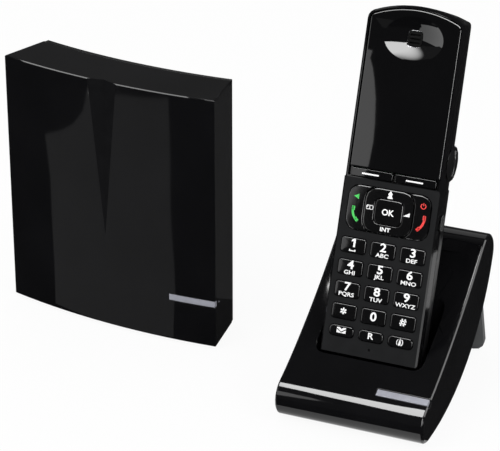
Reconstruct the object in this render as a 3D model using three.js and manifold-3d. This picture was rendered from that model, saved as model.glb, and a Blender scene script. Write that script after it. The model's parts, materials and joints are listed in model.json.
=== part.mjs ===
// A cordless phone: a handset that stands in its charging cradle, and the separate base station beside it.
// Millimetres, +Z up, the front towards -Y. The origin is on the table, under the middle of the front foot.

import * as THREE from "three";
import { mergeVertices } from "three/addons/utils/BufferGeometryUtils.js";
import Module from "manifold-3d";

// Fits that all the pieces share
const FIT = {
  gap: 0.3,
  overrun: 3,
  weld: 0.0001,
};

// How finely curves are cut into straight steps, and the least share of a line that makes a step
const STEPS = { fillet: 3, nose: 10, bend: 18, arc: 14, round: 14, section: 16, dish: 12, bevel: 1 };
const THIN_SHARE = 0.004;

// Charging cradle: a thick ribbon that rises from a round nose and stands on a rear leg
const CRADLE = {
  width: 74.4,
  length: 103,
  height: 73.9,
  ground: 1.3,
  noseRadius: 9.85,
  noseSlopeDegrees: 22,
  topSlopeDegrees: 41.5,
  frontTopShare: [0.8155, 0.951],
  frontPullShares: [0.2136, 0.328],
  topPullShares: [0.1223, 0.0874],
  topTurnDegrees: 70,
  backShare: [0.978, 0.793],
  underHighShare: [0.883, 0.388],
  underLowShare: 0.587,
  flatEndShare: 0.1165,
  edge: 0.8,
  wall: 2.4,
  rim: 5,
  frontFootY: 24,
};

// Dished recess in the cradle's front, narrow at the handset and wide at the top
const DISH = { depth: 4.6, start: 30, margin: 1.9, spreadPower: 3, endShare: 0.97 };

// Pocket that the handset's lower end stands in
const POCKET = { side: 2.8, front: 1.2, back: 0.8, corner: 4, height: 70 };

// Light bar let into the cradle's nose
const CRADLE_BAR = { length: 26.5, start: 2.6, width: 3.6, thick: 2 };

// Rear leg of the cradle: a leaning plate with two ribs behind
const LEG = {
  inset: 4.2, topInset: 5.2, thick: 3, corner: 6, leanDegrees: 15, footY: 110.4, lift: 0.8, root: 3.5,
  ribDepth: 5, ribThick: 2.2, ribLift: 9, ribInset: 13.2,
};

// Rubber feet, screws and sockets
const FRONT_FOOT = { width: 42, length: 12, sunk: 0.8, corner: 3 };
const REAR_FOOT = { inset: 10, length: 2, sunk: 1 };
const SCREW = {
  headRadius: 2.7, headHeight: 1.1, shankRadius: 1.3, length: 9, slotWidth: 0.8, slotDepth: 0.5,
};
const CRADLE_SCREW = { fromSide: 9.2, y: 22, bossRadius: 3.4, bossTop: 21 };
const POWER_SOCKET = { radius: 4, length: 9, bore: 2.8, boreDepth: 7, pin: 0.9 };
const CRADLE_SOCKET = { fromSide: 23.2, alongShare: 0.56 };
const CRADLE_BOARD = { inset: 5.3, front: 8, back: 21.5, thick: 1.6 };
const CHARGE_PIN = { x: 9, depth: 14.5, radius: 1.2, rise: 0.8, root: 0.7 };

// Handset, in its own frame: x across, y up along its front face, z out of the face
const HANDSET = {
  width: 49,
  upperWidth: 48.1,
  stepY: 84.5,
  length: 168.6,
  depth: 25.2,
  seamDepth: 7,
  sideDepth: 10.2,
  taperShare: 0.02,
  topRise: 5.6,
  topCorner: 4.5,
  bottomCorner: 2.6,
  bulge: 2.8,
  bulgeStart: 6,
  bulgeCorner: 5,
  heelCorner: 7,
  crownCorner: 18,
  edge: 0.8,
  backPower: 2.6,
  wall: 1.8,
  leanDegrees: 19.56,
  standY: 26,
  standZ: 29.6,
};

// Window over the display, and the earpiece dish sunk in it
const WINDOW = {
  bottom: 89.5, frame: 1.5, recess: 1.9, thick: 1.3, sink: 0.3, ledge: 1.2, seat: 1.6, corner: 1,
};
const EARPIECE = { y: 153.2, halfWidth: 14.6, halfHeight: 10.6, dish: 2.4, wall: 0.9, sphereRadius: 7.68 };
const GRILLE = { width: 7, height: 7.6, corner: 2, thick: 1, slots: 3, slotWidth: 0.8, slotLength: 5 };
const SPEAKER = { radius: 6.5, rearRadius: 5.2, thick: 2.2 };
const DISPLAY = { inset: 6.05, bottom: 93, top: 137, thick: 2.2 };

// Keypad
const KEYPAD = {
  columnPitch: 14.9,
  rowPitch: 10.7,
  fiveY: 41.6,
  lowRowY: 10.7,
  keyWidth: 12.9,
  keyHeight: 7.9,
  lowKeyHeight: 5.8,
  corner: 1.5,
  lowCorner: 2.2,
  raise: 0.7,
  bevel: 0.35,
  flange: 0.6,
  flangeThick: 0.6,
};
const CLUSTER = {
  y: 70.7, width: 42, height: 22.2, corner: 5.5, navWidth: 25, navCorner: 6, okWidth: 14, okHeight: 11.9,
};
const CLUSTER_KEY = {
  okCorner: 2.6, seam: 0.4, raise: 0.6, root: 2.3, navFlangeTop: 2.5, okFlangeTop: 2.9, flangeThick: 0.5,
};
const SOFT_KEY = { width: 20.4, height: 3.9, x: 10.9, y: 87.2, corner: 0.8, thick: 1.4, sink: 0.2 };

// Inside the handset
const KEY_MAT = { bottom: 3, top: 89, depth: 4.2, thick: 0.7 };
const MAIN_BOARD = { bottom: 8, top: 142, thick: 1 };
const MICROPHONE = { y: 4.1, hole: 0.6, radius: 2, thick: 1.8 };
const BATTERY = { radius: 5.2, length: 44.5, bottom: 10 };
const DOOR = { inset: 7.5, bottom: 4, top: 60, thick: 1.8, gripWidth: 16, gripRadius: 1.2, gripY: 50 };
const REAR_SHELL = { floor: 1.5, roomBottom: 64, roomTop: 156 };
const CONTACT = { radius: 2.2, face: 1.7, length: 3 };

// Belt clip: a strap that grips the handset's sides, and the tongue that springs from it
const CLIP = {
  y: 97.4, height: 13, thick: 1.4, earRadius: 8.6, earDepth: 11, earDome: 1, earReach: 4, studRadius: 1.5,
  studLength: 1.2, tongueWidth: 16, tongueThick: 2, tongueLength: 33, standOff: 3, noseRadius: 1.6,
};

// Cover over the headset socket, on the handset's right side
const JACK_COVER = { y: 69.4, depth: 5.2, length: 8, width: 4.4, thick: 0.9, corner: 1.8, bore: 1.3 };

// Base station, in its own frame: x across, y back from its front corners, z up from its underside
const BASE = {
  width: 122.2,
  height: 134.4,
  depth: 30,
  rise: 5.4,
  endInset: 6.5,
  lift: 1.7,
  wall: 2.2,
  edge: 0.4,
  coverThick: 2.4,
  coverInset: 0.3,
  x: -152.8,
  y: 61.2,
  turnDegrees: -6.17,
};
const GROOVE = { halfWidth: 8.2, depth: 2.6, length: 84 };
const BASE_BAR = { left: 36, bottom: 22.3, height: 3.2, thick: 2 };
const BASE_FOOT = { fromEnd: 19.1, y: 11, width: 12, length: 15, sunk: 0.8, corner: 3 };
const BASE_BOARD = { fromEnd: 12.1, height: 96, bottom: 6, thick: 1.6, fromBack: 13 };
const ANTENNA = { width: 7, root: 13, fromTop: 17.2, thick: 0.8, fromEnd: 31.1 };
const LINE_SOCKET = {
  x: -24, z: 14, width: 14.6, height: 12, plugWidth: 11.6, plugHeight: 7.2, plugDepth: 9,
};
const BASE_SOCKET = { x: 8, z: 14 };
const PAGE_BUTTON = {
  fromEnd: 27.1, z: 14, radius: 4.6, thick: 3.4, proud: 0.6, flange: 0.7, flangeThick: 0.9,
};
const BASE_SCREW = { fromTop: 16.4, bossRadius: 3.6 };
const baseScrewZ = BASE.height - BASE_SCREW.fromTop;
const KEYHOLE = { fromEnd: 25.1, z: 88, radius: 4.2, slot: 2.2, slotLength: 8 };
const VENT = { count: 7, pitch: 4.6, width: 1.8, length: 34, z: 60 };

// Plastics and metals
const GLOSS = new THREE.MeshStandardMaterial({ color: 0x0b0b0d, roughness: 0.12, metalness: 0 });
const MATTE = new THREE.MeshStandardMaterial({ color: 0x2a2a2c, roughness: 0.55, metalness: 0 });
const LEG_GREY = new THREE.MeshStandardMaterial({ color: 0x3c3c3f, roughness: 0.6, metalness: 0 });
const LIGHT = new THREE.MeshStandardMaterial({ color: 0x9a97a6, roughness: 0.35, metalness: 0 });
const RUBBER = new THREE.MeshStandardMaterial({ color: 0x1a1a1a, roughness: 0.9, metalness: 0 });
const BOARD = new THREE.MeshStandardMaterial({ color: 0x1d5a34, roughness: 0.5, metalness: 0 });
const METAL = new THREE.MeshStandardMaterial({ color: 0xb8b8bc, roughness: 0.3, metalness: 1 });
const GOLD = new THREE.MeshStandardMaterial({ color: 0xc9a45a, roughness: 0.3, metalness: 1 });
const BATTERY_WRAP = new THREE.MeshStandardMaterial({ color: 0x3a4a7a, roughness: 0.4, metalness: 0 });
const PANEL_GREY = new THREE.MeshStandardMaterial({ color: 0x22262a, roughness: 0.25, metalness: 0 });

const wasm = await Module();
wasm.setup();

// Solids: closed geometry in and out of the boolean library

function solid(geometry) {
  const bare = geometry.clone();
  bare.deleteAttribute("normal");
  bare.deleteAttribute("uv");
  const merged = mergeVertices(bare, FIT.weld);
  const vertProperties = new Float32Array(merged.attributes.position.array);
  const triVerts = new Uint32Array(merged.index.array);
  return new wasm.Manifold(new wasm.Mesh({ numProp: 3, vertProperties, triVerts }));
}

const join = (first, ...rest) => rest.reduce((whole, piece) => whole.add(piece), first);
const cut = (first, ...rest) => rest.reduce((whole, piece) => whole.subtract(piece), first);
const common = (first, ...rest) => rest.reduce((whole, piece) => whole.intersect(piece), first);

function mesh(name, shape, material) {
  const { numProp, numVert, vertProperties, triVerts } = shape.getMesh();
  const places = new Float32Array(numVert * 3);
  for (let i = 0; i < numVert; i += 1) {
    places.set(vertProperties.subarray(i * numProp, i * numProp + 3), i * 3);
  }
  const geometry = new THREE.BufferGeometry();
  geometry.setAttribute("position", new THREE.BufferAttribute(places, 3));
  geometry.setIndex(new THREE.BufferAttribute(new Uint32Array(triVerts), 1));
  const flat = geometry.toNonIndexed();
  flat.computeVertexNormals();
  const made = new THREE.Mesh(flat, material);
  made.name = name;
  return made;
}

// Outlines: lists of points, with a radius at each corner that is rounded

const radians = (degrees) => THREE.MathUtils.degToRad(degrees);
const point = (x, y) => new THREE.Vector2(x, y);
const polar = (centre, radius, angle) =>
  point(centre.x + radius * Math.cos(angle), centre.y + radius * Math.sin(angle));

function arc(centre, radius, from, to, steps) {
  return Array.from({ length: steps + 1 }, (_, i) => polar(centre, radius, from + ((to - from) * i) / steps));
}

function rounded(corners) {
  const count = corners.length;
  return corners.flatMap(([x, y, radius = 0], i) => {
    const here = point(x, y);
    if (radius === 0) {
      return [here];
    }
    const toBefore = point(...corners[(i + count - 1) % count]).sub(here).normalize();
    const toAfter = point(...corners[(i + 1) % count]).sub(here).normalize();
    const half = Math.acos(THREE.MathUtils.clamp(toBefore.dot(toAfter), -1, 1)) / 2;
    const inward = toBefore.clone().add(toAfter).normalize();
    const centre = inward.multiplyScalar(radius / Math.sin(half)).add(here);
    const start = here.clone().addScaledVector(toBefore, radius / Math.tan(half)).sub(centre).angle();
    const end = here.clone().addScaledVector(toAfter, radius / Math.tan(half)).sub(centre).angle();
    const sweep = THREE.MathUtils.euclideanModulo(end - start + Math.PI, 2 * Math.PI) - Math.PI;
    return arc(centre, radius, start, start + sweep, STEPS.fillet);
  });
}

function roundedBox(width, height, radius, x = 0, y = 0) {
  const [w, h] = [width / 2, height / 2];
  const corners = [[-w, -h], [w, -h], [w, h], [-w, h]];
  return rounded(corners.map(([cx, cy]) => [x + cx, y + cy, radius]));
}

const circle = (radius, x = 0, y = 0) => arc(point(x, y), radius, 0, 2 * Math.PI, STEPS.round).slice(0, -1);

function bezier(from, pullFrom, pullTo, to, steps) {
  return new THREE.CubicBezierCurve(from, pullFrom, pullTo, to).getPoints(steps);
}

// Each point of an open line moved square to it; a positive distance goes to the left of the line's way
function beside(line, distance) {
  return line.map((here, i) => {
    const before = line[Math.max(i - 1, 0)];
    const after = line[Math.min(i + 1, line.length - 1)];
    const way = after.clone().sub(before).normalize();
    return point(here.x - way.y * distance, here.y + way.x * distance);
  });
}

// The part of an open line between two distances along it
function stretch(line, from, to) {
  const path = new THREE.CurvePath();
  line.slice(1).forEach((end, i) => path.add(new THREE.LineCurve(line[i], end)));
  const [a, b] = [from / path.getLength(), to / path.getLength()];
  const inner = path.getCurveLengths().map((length) => length / path.getLength());
  const kept = line.slice(1, -1).filter((_, i) => inner[i] > a + THIN_SHARE && inner[i] < b - THIN_SHARE);
  return [path.getPointAt(a), ...kept, path.getPointAt(b)];
}

const lengthOf = (line) => line.slice(1).reduce((sum, end, i) => sum + end.distanceTo(line[i]), 0);

// The band between two distances to the left of an open line
const band = (line, inner, outer) => [...beside(line, inner), ...beside(line, outer).reverse()];

// Prisms: an outline pushed along an axis

function extruded(outline, length, edge = 0) {
  return new THREE.ExtrudeGeometry(new THREE.Shape(outline), {
    depth: length - 2 * edge,
    bevelEnabled: edge > 0,
    bevelSize: edge,
    bevelThickness: edge,
    bevelOffset: -edge,
    bevelSegments: STEPS.bevel,
  }).translate(0, 0, edge);
}

const X = new THREE.Vector3(1, 0, 0);
const Y = new THREE.Vector3(0, 1, 0);
const Z = new THREE.Vector3(0, 0, 1);

// An outline in x and y, from one height to another
const upright = (outline, from, to, edge) => solid(extruded(outline, to - from, edge).translate(0, 0, from));

// An outline in y and z, from one x to another
function sideways(outline, from, to, edge) {
  const turned = extruded(outline, to - from, edge).applyMatrix4(new THREE.Matrix4().makeBasis(Y, Z, X));
  return solid(turned.translate(from, 0, 0));
}

// An outline in x and z, from one y to another
function endways(outline, from, to, edge) {
  const basis = new THREE.Matrix4().makeBasis(X, Z, Y.clone().negate());
  return solid(extruded(outline, to - from, edge).applyMatrix4(basis).translate(0, to, 0));
}

function block(x0, x1, y0, y1, z0, z1) {
  const box = new THREE.BoxGeometry(x1 - x0, y1 - y0, z1 - z0);
  return solid(box.translate((x0 + x1) / 2, (y0 + y1) / 2, (z0 + z1) / 2));
}

// A closed skin over rings of equally many points
function lofted(rings) {
  const count = rings[0].length;
  const places = rings.flat().flatMap((p) => [p.x, p.y, p.z]);
  const index = [];
  for (let r = 0; r < rings.length - 1; r += 1) {
    for (let i = 0; i < count; i += 1) {
      const [a, b] = [r * count + i, r * count + ((i + 1) % count)];
      index.push(a, b, b + count, a, b + count, a + count);
    }
  }
  const last = (rings.length - 1) * count;
  for (let i = 1; i < count - 1; i += 1) {
    index.push(0, i + 1, i, last, last + i, last + i + 1);
  }
  const geometry = new THREE.BufferGeometry();
  geometry.setAttribute("position", new THREE.Float32BufferAttribute(places, 3));
  geometry.setIndex(index);
  return geometry;
}

// A turned piece about Z: pairs of radius and height, from the axis to the axis
function turned(profile) {
  const line = profile.map(([radius, height]) => point(radius, height));
  return new THREE.LatheGeometry(line, STEPS.round).rotateX(Math.PI / 2);
}

// Cradle: its side outline, nose at y = 0, the table at z = 0

const share = (pair) => point(pair[0] * CRADLE.length, pair[1] * CRADLE.height);
const slope = (degrees, length) =>
  point(Math.cos(radians(degrees)) * length, Math.sin(radians(degrees)) * length);

function cradleNose() {
  const centre = point(CRADLE.noseRadius, CRADLE.ground + CRADLE.noseRadius);
  const end = Math.PI / 2 + radians(CRADLE.noseSlopeDegrees);
  return arc(centre, CRADLE.noseRadius, (3 / 2) * Math.PI, end, STEPS.nose);
}

function cradleFront() {
  const from = cradleNose().at(-1);
  const to = share(CRADLE.frontTopShare);
  const [pullA, pullB] = CRADLE.frontPullShares.map((each) => each * CRADLE.length);
  const a = from.clone().add(slope(CRADLE.noseSlopeDegrees, pullA));
  const b = to.clone().sub(slope(CRADLE.topSlopeDegrees, pullB));
  return bezier(from, a, b, to, STEPS.bend);
}

function cradleTop() {
  const [from, to] = [share(CRADLE.frontTopShare), share(CRADLE.backShare)];
  const [pullA, pullB] = CRADLE.topPullShares.map((each) => each * CRADLE.length);
  const a = from.clone().add(slope(CRADLE.topSlopeDegrees, pullA));
  const b = to.clone().add(slope(CRADLE.topTurnDegrees, pullB));
  return bezier(from, a, b, to, STEPS.nose);
}

function cradleUnder() {
  const low = point(CRADLE.underLowShare * CRADLE.length, CRADLE.ground);
  const end = point(CRADLE.flatEndShare * CRADLE.length, CRADLE.ground);
  const rise = bezier(share(CRADLE.backShare), share(CRADLE.underHighShare), low, end, STEPS.bend);
  return [...rise, cradleNose()[0]];
}

const cradleOutline = () =>
  [cradleNose(), cradleFront(), cradleTop(), cradleUnder()].flatMap((line) => line.slice(0, -1)).reverse();

const cradleHalf = CRADLE.width / 2;
const coverEdge = cradleHalf - CRADLE.wall - FIT.gap;
const pocketHalf = HANDSET.width / 2 + POCKET.side;
const dishWide = cradleHalf - DISH.margin;
const cradleScrewX = cradleHalf - CRADLE_SCREW.fromSide;

// The underside between its rims, as a band between two distances into the ribbon
function underBand(rim, inner, outer) {
  const line = cradleUnder();
  return band(stretch(line, rim, lengthOf(line) - rim), -inner, -outer);
}

// Frame of the handset: its lower front edge stands in the pocket, and it leans back
const handsetFrame = new THREE.Matrix4()
  .makeRotationX(Math.PI / 2 - radians(HANDSET.leanDegrees))
  .setPosition(0, HANDSET.standY, HANDSET.standZ);

const pocketFloor = -HANDSET.bulge - FIT.gap;
const pocketBack = -HANDSET.depth - POCKET.back;

function pocketBlock(grow) {
  const depth = POCKET.front - pocketBack + 2 * grow;
  const middle = (POCKET.front + pocketBack) / 2;
  const plan = roundedBox(2 * (pocketHalf + grow), depth, POCKET.corner + grow, 0, middle);
  const basis = new THREE.Matrix4().makeBasis(X, Z, Y.clone().negate());
  const from = pocketFloor - grow;
  const shape = extruded(plan, POCKET.height - from).applyMatrix4(basis).translate(0, POCKET.height, 0);
  return solid(shape.applyMatrix4(handsetFrame));
}

function dishCutter() {
  const line = cradleFront();
  const end = line.at(-1).x;
  const over = beside(line, FIT.overrun);
  const under = beside(line, -DISH.depth);
  const rings = [];
  line.forEach((here, i) => {
    const along = (here.x - DISH.start) / (end - DISH.start);
    if (along < 0 || along > DISH.endShare) {
      return;
    }
    const spread = 1 - (1 - along) ** DISH.spreadPower;
    const half = pocketHalf + (dishWide - pocketHalf) * spread;
    const fade = Math.cos((along * Math.PI) / 2);
    const ring = [];
    for (let k = 0; k <= STEPS.dish; k += 1) {
      const across = (2 * k) / STEPS.dish - 1;
      const deep = here.clone().lerp(under[i], fade * (1 - across ** 2));
      ring.push(new THREE.Vector3(half * across, deep.x, deep.y));
    }
    ring.push(new THREE.Vector3(half, over[i].x, over[i].y), new THREE.Vector3(-half, over[i].x, over[i].y));
    rings.push(ring);
  });
  return solid(lofted(rings.reverse()));
}

function cradleRoom() {
  const outline = cradleOutline();
  const closed = [...outline, outline[0]];
  const inner = beside(closed, CRADLE.wall).slice(0, -1);
  const half = cradleHalf - CRADLE.wall;
  const ceiling = band(cradleFront(), FIT.overrun, -DISH.depth - CRADLE.wall);
  const opening = underBand(CRADLE.rim, -FIT.overrun, CRADLE.wall + FIT.gap);
  const upper = cut(sideways(inner, -half, half), sideways(ceiling, -cradleHalf, cradleHalf));
  return join(cut(upper, pocketBlock(CRADLE.wall)), sideways(opening, -half, half));
}

function cradleBarShape(gap) {
  const line = stretch(cradleFront(), CRADLE_BAR.start - gap, CRADLE_BAR.start + CRADLE_BAR.width + gap);
  const top = gap > 0 ? FIT.overrun : 0;
  const right = gap > 0 ? cradleHalf + FIT.overrun : cradleHalf - CRADLE.edge;
  return sideways(band(line, top, -CRADLE_BAR.thick - gap), (cradleHalf - CRADLE_BAR.length) - gap, right);
}

const inHandset = (shape) => solid(shape.applyMatrix4(handsetFrame));

function chargePinHole(side) {
  const hole = turned([[0, -FIT.overrun], [CHARGE_PIN.radius + FIT.gap, -FIT.overrun],
    [CHARGE_PIN.radius + FIT.gap, CRADLE.wall + FIT.overrun], [0, CRADLE.wall + FIT.overrun]]);
  const placed = hole.rotateX(-Math.PI / 2);
  return inHandset(placed.translate(side * CHARGE_PIN.x, pocketFloor - CRADLE.wall, -CHARGE_PIN.depth));
}

function chargePin(side) {
  const length = CRADLE.wall + FIT.gap + CHARGE_PIN.rise;
  const base = -CHARGE_PIN.root;
  const { radius } = CHARGE_PIN;
  const pin = turned([[0, base], [radius, base], [radius, length - radius / 2], [radius / 2, length],
    [0, length]]);
  const placed = pin.rotateX(-Math.PI / 2);
  return inHandset(placed.translate(side * CHARGE_PIN.x, pocketFloor - CRADLE.wall, -CHARGE_PIN.depth));
}

function cradleBoss(side) {
  return upright(circle(CRADLE_SCREW.bossRadius, side * cradleScrewX, CRADLE_SCREW.y),
    CRADLE.ground + CRADLE.wall + 3 * FIT.gap, CRADLE_SCREW.bossTop);
}

function screwBore(x, y, from, to, radius) {
  return upright(circle(radius, x, y), from, to);
}

// A pan head screw that points along +Z, its head's underside at z = 0
function screwShape() {
  return turned([[0, -SCREW.headHeight], [SCREW.headRadius, -SCREW.headHeight], [SCREW.headRadius, 0],
    [SCREW.shankRadius, 0], [SCREW.shankRadius, SCREW.length - SCREW.shankRadius], [0, SCREW.length]]);
}

function slotted(shape) {
  const [w, r] = [SCREW.slotWidth / 2, SCREW.headRadius];
  const low = -SCREW.headHeight - FIT.gap;
  const high = -SCREW.headHeight + SCREW.slotDepth;
  const long = (r * 3) / 4;
  return cut(shape, block(-w, w, -long, long, low, high), block(-long, long, -w, w, low, high));
}

const headSeat = CRADLE.ground + SCREW.headHeight + 2 * FIT.gap;

function cradleScrew(side) {
  const shape = slotted(solid(screwShape()));
  const made = mesh(side < 0 ? "cradle_screw_left" : "cradle_screw_right", shape, METAL);
  made.position.set(side * cradleScrewX, CRADLE_SCREW.y, headSeat);
  return made;
}

function cradleShell() {
  const whole = sideways(cradleOutline(), -cradleHalf, cradleHalf, CRADLE.edge);
  const bosses = [-1, 1].map(cradleBoss);
  const shankRoom = SCREW.shankRadius + FIT.gap;
  const bores = [-1, 1].map((side) =>
    screwBore(side * cradleScrewX, CRADLE_SCREW.y, 0, headSeat + SCREW.length + FIT.gap, shankRoom));
  const hollow = join(cut(whole, cradleRoom()), ...bosses);
  return mesh("cradle_shell", cut(hollow, pocketBlock(0), dishCutter(), cradleBarShape(FIT.gap),
    ...[-1, 1].map(chargePinHole), ...bores), GLOSS);
}

// The leg's plate leans forward as it rises from its foot
const legFrame = new THREE.Matrix4()
  .makeRotationX(Math.PI / 2 + radians(LEG.leanDegrees))
  .setPosition(0, LEG.footY, LEG.lift);

// Length along the leg from its foot to the cradle's underside
function legReach() {
  const up = slope(90 + LEG.leanDegrees, 1);
  const foot = point(LEG.footY, LEG.lift);
  const line = cradleUnder();
  const i = line.findIndex((p) => p.clone().sub(foot).cross(up) < 0);
  const [a, b] = [line[i - 1], line[i]].map((p) => p.clone().sub(foot));
  const share = a.cross(up) / (a.cross(up) - b.cross(up));
  return a.lerp(b, share).length();
}

function legShape() {
  const [w, t] = [cradleHalf - LEG.inset, cradleHalf - LEG.topInset];
  const length = legReach() + LEG.root;
  const front = rounded([[-w, 0, LEG.corner], [w, 0, LEG.corner], [t, length], [-t, length]]);
  const plate = extruded(front, LEG.thick).applyMatrix4(legFrame);
  const deep = LEG.ribDepth;
  const profile = [[LEG.ribLift, -LEG.thick / 2], [length, -LEG.thick / 2], [length, deep],
    [LEG.ribLift + 2 * deep, deep]].map(([along, out]) => point(along, -out));
  const rib = extruded(profile.reverse(), LEG.ribThick);
  const upwards = new THREE.Matrix4().makeBasis(Y, Z, X);
  const ribs = [-1, 1].map((side) => {
    const x = side * (cradleHalf - LEG.ribInset) - LEG.ribThick / 2;
    const one = rib.clone().applyMatrix4(upwards).translate(x, 0, 0);
    return solid(one.applyMatrix4(legFrame));
  });
  const outline = cradleOutline();
  const inside = beside([...outline, outline[0]], CRADLE.wall / 2).slice(0, -1);
  const rim = band(stretch(cradleUnder(), 0, CRADLE.rim + FIT.gap), FIT.gap, -CRADLE.wall);
  const [near, far] = [-cradleHalf, cradleHalf];
  return cut(join(solid(plate), ...ribs), sideways(inside, near, far), sideways(rim, near, far));
}

// Place and direction of the power inlet on the cradle's underside
function cradleSocketFrame() {
  const line = cradleUnder().slice(0, -1);
  const path = new THREE.CatmullRomCurve3(line.map((p) => new THREE.Vector3(0, p.x, p.y)));
  const place = path.getPointAt(1 - CRADLE_SOCKET.alongShare);
  const way = path.getTangentAt(1 - CRADLE_SOCKET.alongShare);
  const out = new THREE.Vector3().crossVectors(X, way).negate();
  if (out.z > 0) {
    out.negate();
  }
  const frame = new THREE.Matrix4().makeBasis(X, new THREE.Vector3().crossVectors(out, X), out);
  return frame.setPosition(cradleHalf - CRADLE_SOCKET.fromSide, place.y, place.z);
}

// A barrel power socket whose mouth faces +Z at z = 0
function powerSocket() {
  const { radius, length, bore, boreDepth, pin } = POWER_SOCKET;
  return turned([[0, -length], [radius, -length], [radius, 0], [bore, 0], [bore, -boreDepth],
    [pin, -boreDepth], [pin, -pin], [0, -pin]]);
}

function socketBore(frame) {
  const room = POWER_SOCKET.radius + FIT.gap;
  const depth = POWER_SOCKET.length + FIT.gap;
  const bore = turned([[0, -depth], [room, -depth], [room, FIT.overrun], [0, FIT.overrun]]);
  return solid(bore.applyMatrix4(frame));
}

function footRecess() {
  const [width, length] = [FRONT_FOOT.width + 2 * FIT.gap, FRONT_FOOT.length + 2 * FIT.gap];
  const outline = roundedBox(width, length, FRONT_FOOT.corner, 0, CRADLE.frontFootY);
  return upright(outline, 0, CRADLE.ground + FRONT_FOOT.sunk + FIT.gap);
}

function rearFootRoom(gap, top) {
  const [w, l] = [cradleHalf - LEG.inset - REAR_FOOT.inset + gap, REAR_FOOT.length / 2 + gap];
  const middle = LEG.footY - REAR_FOOT.length / 2;
  return block(-w, w, middle - l, middle + l, 0, top);
}

function cradleCover() {
  const skin = sideways(underBand(CRADLE.rim + FIT.gap, 0, CRADLE.wall), -coverEdge, coverEdge);
  const bores = [-1, 1].flatMap((side) => [
    screwBore(side * cradleScrewX, CRADLE_SCREW.y, 0, headSeat, SCREW.headRadius + FIT.gap),
    screwBore(side * cradleScrewX, CRADLE_SCREW.y, 0, headSeat + SCREW.length, SCREW.shankRadius + FIT.gap),
  ]);
  const rear = rearFootRoom(FIT.gap, LEG.lift + REAR_FOOT.sunk);
  return mesh("cradle_cover", cut(join(skin, legShape()), footRecess(), rear, socketBore(cradleSocketFrame()),
    ...bores), LEG_GREY);
}

function cradleBoard() {
  const { front, back, thick } = CRADLE_BOARD;
  const top = pocketFloor - CRADLE.wall - FIT.gap - CHARGE_PIN.root;
  const box = new THREE.BoxGeometry(2 * (pocketHalf - CRADLE_BOARD.inset), thick, back - front);
  return mesh("cradle_board", inHandset(box.translate(0, top - thick / 2, -(front + back) / 2)), BOARD);
}

function frontFoot() {
  const outline = roundedBox(FRONT_FOOT.width, FRONT_FOOT.length, FRONT_FOOT.corner, 0, CRADLE.frontFootY);
  return mesh("front_foot", upright(outline, 0, CRADLE.ground + FRONT_FOOT.sunk), RUBBER);
}

function cradle() {
  const group = new THREE.Group();
  group.add(
    cradleShell(),
    cradleCover(),
    mesh("cradle_light_bar", cradleBarShape(0), LIGHT),
    cradleBoard(),
    mesh("charge_pin_left", chargePin(-1), GOLD),
    mesh("charge_pin_right", chargePin(1), GOLD),
    mesh("cradle_power_socket", solid(powerSocket().applyMatrix4(cradleSocketFrame())), RUBBER),
    frontFoot(),
    mesh("rear_foot", rearFootRoom(0, LEG.lift + REAR_FOOT.sunk - FIT.gap), RUBBER),
    cradleScrew(-1),
    cradleScrew(1),
  );
  return group;
}

// Handset: outlines of its front, its section and its side

const handsetHalf = HANDSET.upperWidth / 2;
const lowerHalf = HANDSET.width / 2;
const depthAt = (y) => HANDSET.depth - HANDSET.taperShare * y;

// The front's outline: an arched top, and a small step outwards at the keypad
function frontOutline(inset, bottom, bottomCorner) {
  const half = handsetHalf - inset;
  const [rise, top] = [HANDSET.topRise, HANDSET.length];
  const radius = (handsetHalf ** 2 + rise ** 2) / (2 * rise);
  const centre = point(0, top - radius);
  const reach = Math.asin(half / (radius - inset));
  const crown = arc(centre, radius - inset, Math.PI / 2 - reach, Math.PI / 2 + reach, STEPS.arc);
  const corner = Math.max(HANDSET.topCorner - inset, FIT.gap);
  const vertices = crown.map((p, i) => [p.x, p.y, i === 0 || i === crown.length - 1 ? corner : 0]);
  if (bottom > HANDSET.stepY) {
    return rounded([[-half, bottom, bottomCorner], [half, bottom, bottomCorner], ...vertices]);
  }
  const [wide, step] = [lowerHalf - inset, HANDSET.stepY];
  return rounded([[-half, step], [-wide, step], [-wide, bottom, bottomCorner], [wide, bottom, bottomCorner],
    [wide, step], [half, step], ...vertices]);
}

// A cross section open to the front; its back is a flat bow that leans forward up the handset
function section(half, depth, y0, y1) {
  const bow = depth - HANDSET.sideDepth;
  const power = 2 / HANDSET.backPower;
  const back = Array.from({ length: STEPS.section + 1 }, (_, i) => {
    const angle = (Math.PI * i) / STEPS.section;
    const [c, s] = [Math.cos(angle), Math.abs(Math.sin(angle))];
    return point(-half * Math.sign(c) * Math.abs(c) ** power, -HANDSET.sideDepth - bow * s ** power);
  });
  const front = HANDSET.sideDepth + FIT.overrun;
  const outline = [point(half, front), point(-half, front), ...back];
  const basis = new THREE.Matrix4().makeBasis(X, Z, Y.clone().negate());
  const prism = extruded(outline, y1 - y0).applyMatrix4(basis).translate(0, y1, 0);
  return solid(prism.applyMatrix4(new THREE.Matrix4().makeShear(0, 0, 0, HANDSET.taperShare, 0, 0)));
}

function sideOutline() {
  const { length, bulge, bulgeStart, bulgeCorner, heelCorner, crownCorner, depth } = HANDSET;
  return rounded([[0, 0], [-bulge, -bulgeStart, bulgeCorner], [-bulge, -depth, heelCorner],
    [length, -depthAt(length), crownCorner], [length, 0]]);
}

const handsetBody = common(
  upright(frontOutline(0, -HANDSET.bulge, HANDSET.bottomCorner), -2 * HANDSET.depth, 0, HANDSET.edge),
  join(section(lowerHalf, HANDSET.depth, -HANDSET.bulge - FIT.overrun, HANDSET.stepY),
    section(handsetHalf, HANDSET.depth, HANDSET.stepY - FIT.gap, HANDSET.length + FIT.overrun)),
  sideways(sideOutline(), -handsetHalf - FIT.overrun, handsetHalf + FIT.overrun),
);

const seam = -HANDSET.seamDepth;

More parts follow.
